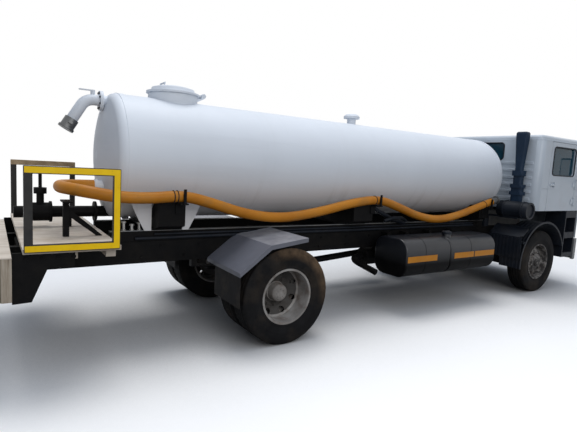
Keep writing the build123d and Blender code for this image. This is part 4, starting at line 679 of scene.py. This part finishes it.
def block(bm, low, high):
    """A box between two corners."""
    size = [h - l for l, h in zip(low, high)]
    middle = [(l + h) / 2 for l, h in zip(low, high)]
    place = Matrix.Translation(middle) @ Matrix.Diagonal((*size, 1))
    bmesh.ops.create_cube(bm, size=1.0, matrix=place)


def span(sign, pair):
    """Two distances out from the middle, on one side of the truck, in rising order."""
    return sorted(sign * y for y in pair)


def turned_to(direction):
    return Vector((0, 0, 1)).rotation_difference(Vector(direction)).to_matrix().to_4x4()


# Bolts: the washer's radius and height as shares of the head's, and how far the head narrows.
WASHER_R, WASHER_H, NARROWS = 1.45, 0.25, 0.96


def bolt(bm, place, direction, r, h):
    """A hexagon head on a washer."""
    way = Vector(direction).normalized()
    for radius, height, sides in ((r * WASHER_R, h * WASHER_H, 14), (r, h, 6)):
        base = Matrix.Translation(Vector(place) + way * height / 2) @ turned_to(way)
        bmesh.ops.create_cone(bm, cap_ends=True, segments=sides, radius1=radius, radius2=radius * NARROWS,
                              depth=height, matrix=base)


def bolt_ring(bm, centre, way, ring_r, count, size, start=0.5):
    """Bolts round a centre that all face one way; start is the first one's place in steps."""
    for i in range(count):
        a = 2 * math.pi * (i + start) / count
        u, v = ring_r * math.cos(a), ring_r * math.sin(a)
        offset = (0, u, v) if way[0] else (u, 0, v) if way[1] else (u, v, 0)
        bolt(bm, Vector(centre) + Vector(offset), way, *size)


def pipe(bm, points, r, sides):
    """A round pipe through points, with capped ends."""
    points = [Vector(p) for p in points]
    rings = []
    side = None
    for i, p in enumerate(points):
        way = (points[min(i + 1, len(points) - 1)] - points[max(i - 1, 0)]).normalized()
        side = way.orthogonal() if side is None else side - way * side.dot(way)
        side.normalize()
        other = way.cross(side)
        turn = [2 * math.pi * k / sides for k in range(sides)]
        rings.append([bm.verts.new(p + (side * math.cos(t) + other * math.sin(t)) * r) for t in turn])
    for a, b in zip(rings, rings[1:]):
        for k in range(sides):
            n = (k + 1) % sides
            bm.faces.new((a[k], a[n], b[n], b[k]))
    bm.faces.new(list(reversed(rings[0])))
    bm.faces.new(rings[-1])


def piece(name, bm, body, slot, mat=None, bevel=0.0, smooth_deg=35):
    """Turn a bmesh into an object that rides on a body."""
    bmesh.ops.recalc_face_normals(bm, faces=bm.faces)
    mesh = bpy.data.meshes.new(name)
    bm.to_mesh(mesh)
    bm.free()
    obj = bpy.data.objects.new(name, mesh)
    SCENE.collection.objects.link(obj)
    mesh.materials.append(MAT[mat or slot])
    mesh.shade_smooth()
    mesh.set_sharp_from_angle(angle=math.radians(smooth_deg))
    if bevel:
        soften(obj, bevel)
    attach(obj, body)
    return obj


def soften(obj, width):
    weld = obj.modifiers.new("weld", "WELD")
    weld.merge_threshold = 0.0001
    bevel = obj.modifiers.new("soft_edges", "BEVEL")
    bevel.width = width
    bevel.segments = 2
    bevel.limit_method = "ANGLE"
    bevel.angle_limit = math.radians(40)
    bevel.harden_normals = True


# Tyres: a road casing with four grooves, cut shoulders and ringed walls.
TYRE_STEPS = 192
TREAD_HALF = 0.110
CROWN_D = 0.002
# Shoulder: where it begins, the cuts' depth and inner end, and the steps from one cut to the next.
SHOULDER = 0.092
CUT_D = 0.009
CUT_FROM = 0.09
CUT_EVERY = 4
# Wall outline outside the tread: columns are the distance from the middle and the radius.
WALL = [
    (0.1135, 0.5235), (0.120, 0.518), (0.127, 0.508), (0.1315, 0.494), (0.134, 0.486), (0.1335, 0.480),
    (0.1365, 0.466), (0.139, 0.445), (0.140, 0.420), (0.1385, 0.402), (0.1395, 0.398), (0.1385, 0.394),
    (0.1345, 0.368), (0.130, 0.350), (0.124, 0.330), (0.127, 0.324), (0.126, 0.316), (0.117, 0.304),
    (0.110, 0.292),
]
# Grooves: columns are the middle of each groove and its half width at the top.
GROOVES = [(-0.066, 0.0065), (-0.022, 0.0055), (0.022, 0.0055), (0.066, 0.0065)]
GROOVE_D = 0.013
# The floor's share of a groove's width, and the share within which a point is on the floor.
GROOVE_FLOOR, FLOOR_WITHIN = 0.55, 0.6


def tread_points():
    points = [-TREAD_HALF, -SHOULDER]
    for middle, half in GROOVES:
        floor = half * GROOVE_FLOOR
        points += [middle - half, middle - floor, middle + floor, middle + half]
    return points + [SHOULDER, TREAD_HALF]


def tread_radius(y, cut):
    for middle, half in GROOVES:
        if abs(y - middle) < half * FLOOR_WITHIN:
            return TYRE_R - GROOVE_D
    if cut and abs(y) > CUT_FROM:
        return TYRE_R - CUT_D
    return TYRE_R - CROWN_D * (y / TREAD_HALF) ** 2


def add_tyre(bm, x, y):
    rings = []
    for i in range(TYRE_STEPS):
        a = 2 * math.pi * i / TYRE_STEPS
        cut = i % CUT_EVERY == 0
        outline = [(-w, r) for w, r in reversed(WALL)]
        outline += [(t, tread_radius(t, cut)) for t in tread_points()]
        outline += WALL
        rings.append([bm.verts.new((x + r * math.cos(a), y + w, TYRE_R + r * math.sin(a))) for w, r in outline])
    skin(bm, rings, True)


def add_tyres():
    step = TYRE_W / 2 + DUAL_GAP / 2
    for side, sign in SIDES:
        bm = bmesh.new()
        for y in (DUAL_Y + step, DUAL_Y - step):
            add_tyre(bm, AXLE_REAR, sign * y)
        obj = piece("tread_rear_" + side, bm, "rear_wheel_" + side, "tyre", smooth_deg=30)
        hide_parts("rear_tyres_" + side)
        bm = bmesh.new()
        add_tyre(bm, AXLE_FRONT, sign * FRONT_Y)
        obj = piece("tread_front_" + side, bm, "front_wheel_" + side, "tyre", smooth_deg=30)
        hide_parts("front_tyre_" + side)


# Wheel nuts and hub bolts; a size is the head's radius and height.
NUTS = 10
NUT_RING = 0.152
NUT_SIZE = (0.017, 0.028)
HUB_BOLTS = 8
HUB_BOLT_SIZE = (0.009, 0.008)
# Their seats: the nuts' and the hub bolts' distance from the truck's middle, and the radius of the hub's ring.
REAR_SEATS = (DUAL_Y + 0.012, DUAL_Y + 0.150, 0.048)
FRONT_SEATS = (FRONT_Y + 0.070, FRONT_Y + 0.135, 0.042)


def wheel_bolts(x, sign, nut_y, hub_y, hub_r):
    bm = bmesh.new()
    way = (0, sign, 0)
    bolt_ring(bm, (x, sign * nut_y, TYRE_R), way, NUT_RING, NUTS, NUT_SIZE)
    bolt_ring(bm, (x, sign * hub_y, TYRE_R), way, hub_r, HUB_BOLTS, HUB_BOLT_SIZE, start=0.0)
    return bm


def add_wheel_bolts():
    for side, sign in SIDES:
        rear = wheel_bolts(AXLE_REAR, sign, *REAR_SEATS)
        piece("nuts_rear_" + side, rear, "rear_wheel_" + side, "rim_grey")
        front = wheel_bolts(AXLE_FRONT, sign, *FRONT_SEATS)
        piece("nuts_front_" + side, front, "front_wheel_" + side, "rim_grey")


# Fuel tanks: reflective tape on the outer face, and a filler cap with a grip across it.
TAPES = [(1.906, 2.494), (2.869, 3.320), (3.345, 3.830)]
TAPE_Z = (0.735, 0.815)
TAPE_T = 0.002
CAP_X, CAP_Y, CAP_Z = 2.859 - X_MID, FUEL_Y + 0.16, 1.066
# Cap outline: columns are the height over its seat and the radius.
CAP_OUTLINE = [(0.0, 0.066), (0.012, 0.070), (0.030, 0.070), (0.040, 0.060), (0.042, 0.0)]
# Grip: half its length, half its width, and its low and high edges.
GRIP_X, GRIP_Y, GRIP_Z = 0.05, 0.008, (1.100, 1.116)


def add_fuel_trim():
    bm = bmesh.new()
    for x0, x1 in TAPES:
        block(bm, (x0 - X_MID, FUEL_Y - TAPE_T, TAPE_Z[0]), (x1 - X_MID, FUEL_Y, TAPE_Z[1]))
    piece("fuel_tape", bm, "chassis", "fuel_black", "tape_orange")
    bm = bmesh.new()
    lathe(bm, CAP_OUTLINE, (CAP_X, CAP_Y, CAP_Z), "Z", 28)
    block(bm, (CAP_X - GRIP_X, CAP_Y - GRIP_Y, GRIP_Z[0]), (CAP_X + GRIP_X, CAP_Y + GRIP_Y, GRIP_Z[1]))
    piece("filler_cap", bm, "chassis", "fuel_black", "black_plastic", 0.002)


# Seats: a plinth, a crowned cushion and a crowned back for each.
SEAT_X = 5.150 - X_MID
SEAT_Y = 0.590
CUSHION_SIZE = (0.49, 0.47, 0.115)
CUSHION_X, CUSHION_Z = SEAT_X + 0.255, 1.740
BACK_SIZE = (0.60, 0.43, 0.11)
BACK_X, BACK_Z = SEAT_X + 0.015, 2.110
BACK_TURN = math.radians(81.2)
# Padding: how far faces swell and sides draw in, and the number and depth of the sewn channels.
CROWN, PINCH = 0.16, 0.04
CHANNELS, CHANNEL_D = 5, 0.006
PAD_CUTS = 9
# Plinth blocks: columns are the rear and front edges from SEAT_X, half the width, and the low and high edges.
PLINTH = [(0.06, 0.44, 0.18, 1.450, 1.680), (0.03, 0.47, 0.20, 1.655, 1.680)]


def crowned(size, place, turn):
    """A padded block: its faces swell and its sides draw in between the corners."""
    bm = bmesh.new()
    bmesh.ops.create_cube(bm, size=1.0)
    bmesh.ops.subdivide_edges(bm, edges=bm.edges[:], cuts=PAD_CUTS, use_grid_fill=True)
    matrix = Matrix.Translation(place) @ Matrix.Rotation(turn, 4, "Y")
    for v in bm.verts:
        x, y, z = (2 * c for c in v.co)
        hump = (1 - x ** 4) * (1 - y ** 4)
        side = 1 - PINCH * (1 - abs(x * y)) * (1 - z * z * 0.5)
        channel = CHANNEL_D * math.cos(y * CHANNELS * math.pi) if z > 0.9 else 0.0
        swell = 1 + CROWN * (hump - 0.5)
        v.co = matrix @ Vector((v.co.x * size[0] * side, v.co.y * size[1] * side,
                                v.co.z * size[2] * swell + channel * hump))
    return bm


def add_seats():
    for side, sign in SIDES:
        y = sign * SEAT_Y
        bm = crowned(CUSHION_SIZE, Vector((CUSHION_X, y, CUSHION_Z)), 0)
        cushion = piece("seat_cushion_" + side, bm, "chassis", "seat_cloth", smooth_deg=70)
        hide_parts("seats")
        bm = crowned(BACK_SIZE, Vector((BACK_X, y, BACK_Z)), BACK_TURN)
        back = piece("seat_back_" + side, bm, "chassis", "seat_cloth", smooth_deg=70)
        bm = bmesh.new()
        for x0, x1, half, z0, z1 in PLINTH:
            block(bm, (SEAT_X + x0, y - half, z0), (SEAT_X + x1, y + half, z1))
        plinth = piece("seat_plinth_" + side, bm, "chassis", "seat_cloth", "black_plastic", 0.012)
        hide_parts("seats")


# Bolt rows on both sides of the truck: columns are first and last x, count, y and z.
BOLT_ROWS = [
    (-2.400, -2.060, 4, 1.109, 1.075), (-1.550, 4.450, 15, RAIL_OUT, 0.995),
    (-1.325, 4.225, 13, RAIL_OUT, 0.880), (-1.190, -0.960, 3, RAIL_OUT, 1.110),
    (1.430, 1.690, 3, RAIL_OUT, 1.110), (4.190, 4.390, 3, RAIL_OUT, 1.110),
]
ROW_BOLT = (0.013, 0.011)
# Bolt rings on flanges that face the rear: columns are the centre, the ring's radius and the count.
BOLT_RINGS = [((-2.289, 0.0, 1.319), 0.076, 8), ((-1.672, 0.0, 2.470), 0.082, 8)]
FLANGE_BOLT = (0.009, 0.009)
# Bolts on the manhole's lid.
LID_CENTRE = (-0.890 - X_MID, 0.0, 2.642)
LID_RING = 0.276
LID_BOLTS = 10
LID_BOLT = (0.010, 0.010)


def add_bolts():
    bm = bmesh.new()
    for x0, x1, count, y, z in BOLT_ROWS:
        for i in range(count):
            x = x0 + (x1 - x0) * i / (count - 1) - X_MID
            for sign in (1, -1):
                bolt(bm, (x, sign * y, z), (0, sign, 0), *ROW_BOLT)
    for (x, y, z), r, count in BOLT_RINGS:
        bolt_ring(bm, (x - X_MID, y, z), (-1, 0, 0), r, count, FLANGE_BOLT)
    piece("body_bolts", bm, "chassis", "chassis_black")
    bm = bmesh.new()
    bolt_ring(bm, LID_CENTRE, (0, 0, 1), LID_RING, LID_BOLTS, LID_BOLT)
    piece("lid_bolts", bm, "manhole_lid", "tank_white")


# Window seals: the middle, width and height of each opening, the corner's radius and the seal's own.
DOOR_WINDOW = Vector((5.600 - X_MID, 1.181, 2.240))
DOOR_WINDOW_SIZE = (0.742, 0.472)
BACK_WINDOW = Vector((4.849 - X_MID, 0.0, 2.375))
BACK_WINDOW_SIZE = (1.032, 0.292)
SEAL_CORNER, SEAL_R = 0.060, 0.011
# Wipers: y of the feet, arms from foot to tip with a bow in the middle, and blades about the tip.
WIPER_Y = (-0.52, 0.38)
WIPER_FOOT = Vector((6.404 - X_MID, 0, 1.895))
WIPER_TIP = Vector((6.330 - X_MID, 0.42, 2.200))
WIPER_BOW = Vector((0.014, 0, 0))
BLADE_ENDS = (Vector((0.054, -0.28, -0.225)), Vector((-0.054, 0.20, 0.225)))
ARM_R, BLADE_R = 0.007, 0.009
# Mirror glass: inner and outer edges, low and high edges, and thickness.
MIRROR_Y, MIRROR_Z, MIRROR_T = (1.262, 1.418), (1.925, 2.305), 0.002


def round_loop(size, r, steps=8):
    """A closed rounded rectangle about the origin."""
    points = []
    half_w, half_h = size[0] / 2 - r, size[1] / 2 - r
    for sx, sy, start in ((1, 1, 0), (-1, 1, 90), (-1, -1, 180), (1, -1, 270)):
        for i in range(steps + 1):
            a = math.radians(start + 90 * i / steps)
            points.append((sx * half_w + r * math.cos(a), sy * half_h + r * math.sin(a)))
    return points + points[:2]


def add_cab_trim():
    for side, sign in SIDES:
        bm = bmesh.new()
        x, y, z = DOOR_WINDOW
        loop = round_loop(DOOR_WINDOW_SIZE, SEAL_CORNER)
        pipe(bm, [(x + u, sign * y, z + v) for u, v in loop], SEAL_R, 8)
        piece("window_seal_" + side, bm, "door_" + side, "cab_white", "black_plastic")
    bm = bmesh.new()
    x, y, z = BACK_WINDOW
    pipe(bm, [(x, y + u, z + v) for u, v in round_loop(BACK_WINDOW_SIZE, SEAL_CORNER)], SEAL_R, 8)
    piece("rear_window_seal", bm, "chassis", "cab_white", "black_plastic")
    bm = bmesh.new()
    for y in WIPER_Y:
        foot, tip = WIPER_FOOT + Vector((0, y, 0)), WIPER_TIP + Vector((0, y, 0))
        pipe(bm, [foot, foot.lerp(tip, 0.5) + WIPER_BOW, tip], ARM_R, 8)
        pipe(bm, [tip + BLADE_ENDS[0], tip, tip + BLADE_ENDS[1]], BLADE_R, 8)
    piece("wipers", bm, "chassis", "black_plastic")
    face_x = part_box("mirrors")[0][0]
    bm = bmesh.new()
    for sign in (1, -1):
        y0, y1 = span(sign, MIRROR_Y)
        block(bm, (face_x - MIRROR_T, y0, MIRROR_Z[0]), (face_x, y1, MIRROR_Z[1]))
    piece("mirror_faces", bm, "chassis", "black_plastic", "mirror")


# Pipes by the rails: columns are the radius and the points on the way.
LINES = [
    (0.016, [(-1.40, -0.452, 1.085), (0.4, -0.452, 1.088), (2.2, -0.452, 1.082), (4.25, -0.452, 1.088)]),
    (0.011, [(-1.20, -0.446, 1.125), (1.0, -0.446, 1.120), (3.2, -0.446, 1.126), (4.25, -0.446, 1.120)]),
    (0.030, [(1.86, -0.500, 1.395), (1.99, -0.510, 1.330), (2.24, -0.500, 1.225), (2.52, -0.480, 1.165)]),
    (0.024, [(2.02, -0.560, 1.215), (2.16, -0.600, 1.262), (2.34, -0.590, 1.255), (2.48, -0.540, 1.205)]),
    (0.032, [(1.735, 0.392, 1.197), (2.50, 0.388, 1.197), (3.30, 0.394, 1.197), (4.155, 0.390, 1.197)]),
    (0.018, [(1.735, 0.380, 1.245), (2.45, 0.396, 1.246), (3.25, 0.384, 1.245), (4.155, 0.392, 1.246)]),
]
# Painted highlight: a pale grey strip along the sub-frame's upper edges, where light catches them: its ends,
# inner and outer faces, and low and high edges.
HIGHLIGHT_X, HIGHLIGHT_Y, HIGHLIGHT_Z = (-1.64 - X_MID, 4.56 - X_MID), (0.4305, 0.4335), (1.157, 1.167)
# Fittings on the deck: columns are x and the height of the stem.
FITTINGS = [(-1.585, 0.050), (-1.500, 0.075), (-1.420, 0.045), (-1.345, 0.060)]
FITTING_Y, FITTING_Z = -0.400, 1.165


def fitting_outline(h):
    """A foot, a stem and a knob: columns are the height and the radius."""
    return [(0.0, 0.022), (0.012, 0.022), (0.014, 0.015), (h, 0.015), (h + 0.004, 0.024), (h + 0.020, 0.024),
            (h + 0.026, 0.0)]


def add_lines():
    bm = bmesh.new()
    for r, points in LINES:
        pipe(bm, [(x - X_MID, y, z) for x, y, z in points], r, 12)
    piece("service_lines", bm, "chassis", "chassis_black", "black_plastic", smooth_deg=60)
    # Painted highlight: a pale grey strip where light catches the sub-frame's upper edges.
    bm = bmesh.new()
    for sign in (-1, 1):
        y0, y1 = span(sign, HIGHLIGHT_Y)
        block(bm, (HIGHLIGHT_X[0], y0, HIGHLIGHT_Z[0]), (HIGHLIGHT_X[1], y1, HIGHLIGHT_Z[1]))
    piece("subframe_edges", bm, "chassis", "chassis_black", "coupling_grey", 0.001)
    bm = bmesh.new()
    for x, h in FITTINGS:
        lathe(bm, fitting_outline(h), (x - X_MID, FITTING_Y, FITTING_Z), "Z", 20)
    piece("deck_fittings", bm, "chassis", "coupling_grey", "bare_steel", smooth_deg=50)


# Splash wall behind each front wheel: a ribbed upright with a framed slope above it.
SPLASH_X, SPLASH_Y, SPLASH_Z = 4.500 - X_MID, (0.620, 1.190), (0.620, 0.970)
SPLASH_HALF_T = 0.003
# Ribs: count, depth, half width, and the margin at both ends.
RIBS, RIB_D, RIB_HALF, RIB_MARGIN = 9, 0.012, 0.012, 0.01
# Slope: its middle from the upright's top, tilt, length and thickness, and its bars' width and thickness.
SLOPE_X, SLOPE_Z, SLOPE_TILT = 0.105, 0.078, -0.64
SLOPE_L, SLOPE_T = 0.262, 0.006
BORDER_W, BORDER_T = 0.036, 0.020


def add_splash_walls():
    for side, sign in SIDES:
        y0, y1 = span(sign, SPLASH_Y)
        z0, z1 = SPLASH_Z
        width = y1 - y0
        back = SPLASH_X - SPLASH_HALF_T
        bm = bmesh.new()
        block(bm, (back, y0, z0), (SPLASH_X + SPLASH_HALF_T, y1, z1))
        for i in range(RIBS):
            y = y0 + width * (i + 0.5) / RIBS
            block(bm, (back - RIB_D, y - RIB_HALF, z0 + RIB_MARGIN), (back, y + RIB_HALF, z1 - RIB_MARGIN))
        middle = Matrix.Translation((SPLASH_X + SLOPE_X, (y0 + y1) / 2, z1 + SLOPE_Z))
        slope = middle @ Matrix.Rotation(SLOPE_TILT, 4, "Y")
        across, along = (width - BORDER_W) / 2, (SLOPE_L - BORDER_W) / 2
        bars = [(0, 0, SLOPE_L, width, SLOPE_T)]
        bars += [(0, y, SLOPE_L, BORDER_W, BORDER_T) for y in (across, -across)]
        bars += [(x, 0, BORDER_W, width, BORDER_T) for x in (along, -along)]
        for x, y, dx, dy, dz in bars:
            place = slope @ Matrix.Translation((x, y, 0)) @ Matrix.Diagonal((dx, dy, dz, 1))
            bmesh.ops.create_cube(bm, size=1.0, matrix=place)
        piece("splash_wall_" + side, bm, "chassis", "black_plastic", bevel=0.003)


# Left side: straps round the air tanks and over the battery box.
STRAP_T = 0.004
AIR_TANK_Y, AIR_TANK_Z, AIR_TANK_R = 0.640, 0.840, 0.130
AIR_STRAPS = (1.660, 2.190, 2.590, 3.010)
AIR_STRAP_HALF = 0.020
AIR_BOLT = (0.012, 0.014)
# Battery box: inner and outer faces, low and high edges, and the height of the straps' bolts.
BOX_Y, BOX_Z, BOX_BOLT_Z = (0.580, 1.100), (0.640, 1.000), 0.680
BOX_STRAPS = (3.450, 3.760)
BOX_STRAP_HALF = 0.018
BOX_BOLT = (0.012, 0.012)


def add_left_straps():
    bm = bmesh.new()
    r0, r1 = AIR_TANK_R, AIR_TANK_R + STRAP_T
    half = AIR_STRAP_HALF
    for x in AIR_STRAPS:
        lathe(bm, [(-half, r0), (-half, r1), (half, r1), (half, r0)], (x - X_MID, AIR_TANK_Y, AIR_TANK_Z),
              "X", 40, True)
        bolt(bm, (x - X_MID, AIR_TANK_Y + r1, AIR_TANK_Z), (0, 1, 0), *AIR_BOLT)
    outside, top = BOX_Y[1] + STRAP_T, BOX_Z[1] + STRAP_T
    for x in BOX_STRAPS:
        x0, x1 = x - BOX_STRAP_HALF - X_MID, x + BOX_STRAP_HALF - X_MID
        block(bm, (x0, BOX_Y[1], BOX_Z[0]), (x1, outside, BOX_Z[1]))
        block(bm, (x0, BOX_Y[0], BOX_Z[1]), (x1, outside, top))
        bolt(bm, (x - X_MID, outside, BOX_BOLT_Z), (0, 1, 0), *BOX_BOLT)
    piece("left_straps", bm, "chassis", "chassis_black", "coupling_grey")


def route_points():
    """Points along the hose's middle, read from a plain curve."""
    data = route_curve("route_probe", HOSE_ROUTE)
    probe = bpy.data.objects.new("route_probe", data)
    SCENE.collection.objects.link(probe)
    mesh = bpy.data.meshes.new_from_object(probe)
    points = [v.co.copy() for v in mesh.vertices]
    bpy.data.objects.remove(probe)
    bpy.data.curves.remove(data)
    bpy.data.meshes.remove(mesh)
    return points


# Ties round the hose's outer run: their stations, the ring's radius and steps, and the tie's own radius.
TIE_X = (-1.100, -1.060, 1.660, 4.130)
TIE_RING, TIE_STEPS, TIE_R = HOSE_OD / 2 + 0.002, 24, 0.005
OUTER_RUN_Y = -0.6


def add_hose_ties():
    points = route_points()
    outer = [i for i in range(1, len(points) - 1) if points[i].y <= OUTER_RUN_Y]
    bm = bmesh.new()
    for station in TIE_X:
        near = min(outer, key=lambda i: abs(points[i].x + X_MID - station))
        way = (points[near + 1] - points[near - 1]).normalized()
        place = Matrix.Translation(points[near]) @ turned_to(way)
        turn = [2 * math.pi * i / TIE_STEPS for i in range(TIE_STEPS + 1)]
        pipe(bm, [place @ Vector((TIE_RING * math.cos(a), TIE_RING * math.sin(a), 0)) for a in turn], TIE_R, 8)
    piece("hose_ties", bm, "chassis", "black_plastic", smooth_deg=60)


add_studio()
dress_nodes()
add_hose()
add_tyres()
add_wheel_bolts()
add_fuel_trim()
add_seats()
add_bolts()
add_cab_trim()
add_lines()
add_splash_walls()
add_hose_ties()
add_left_straps()
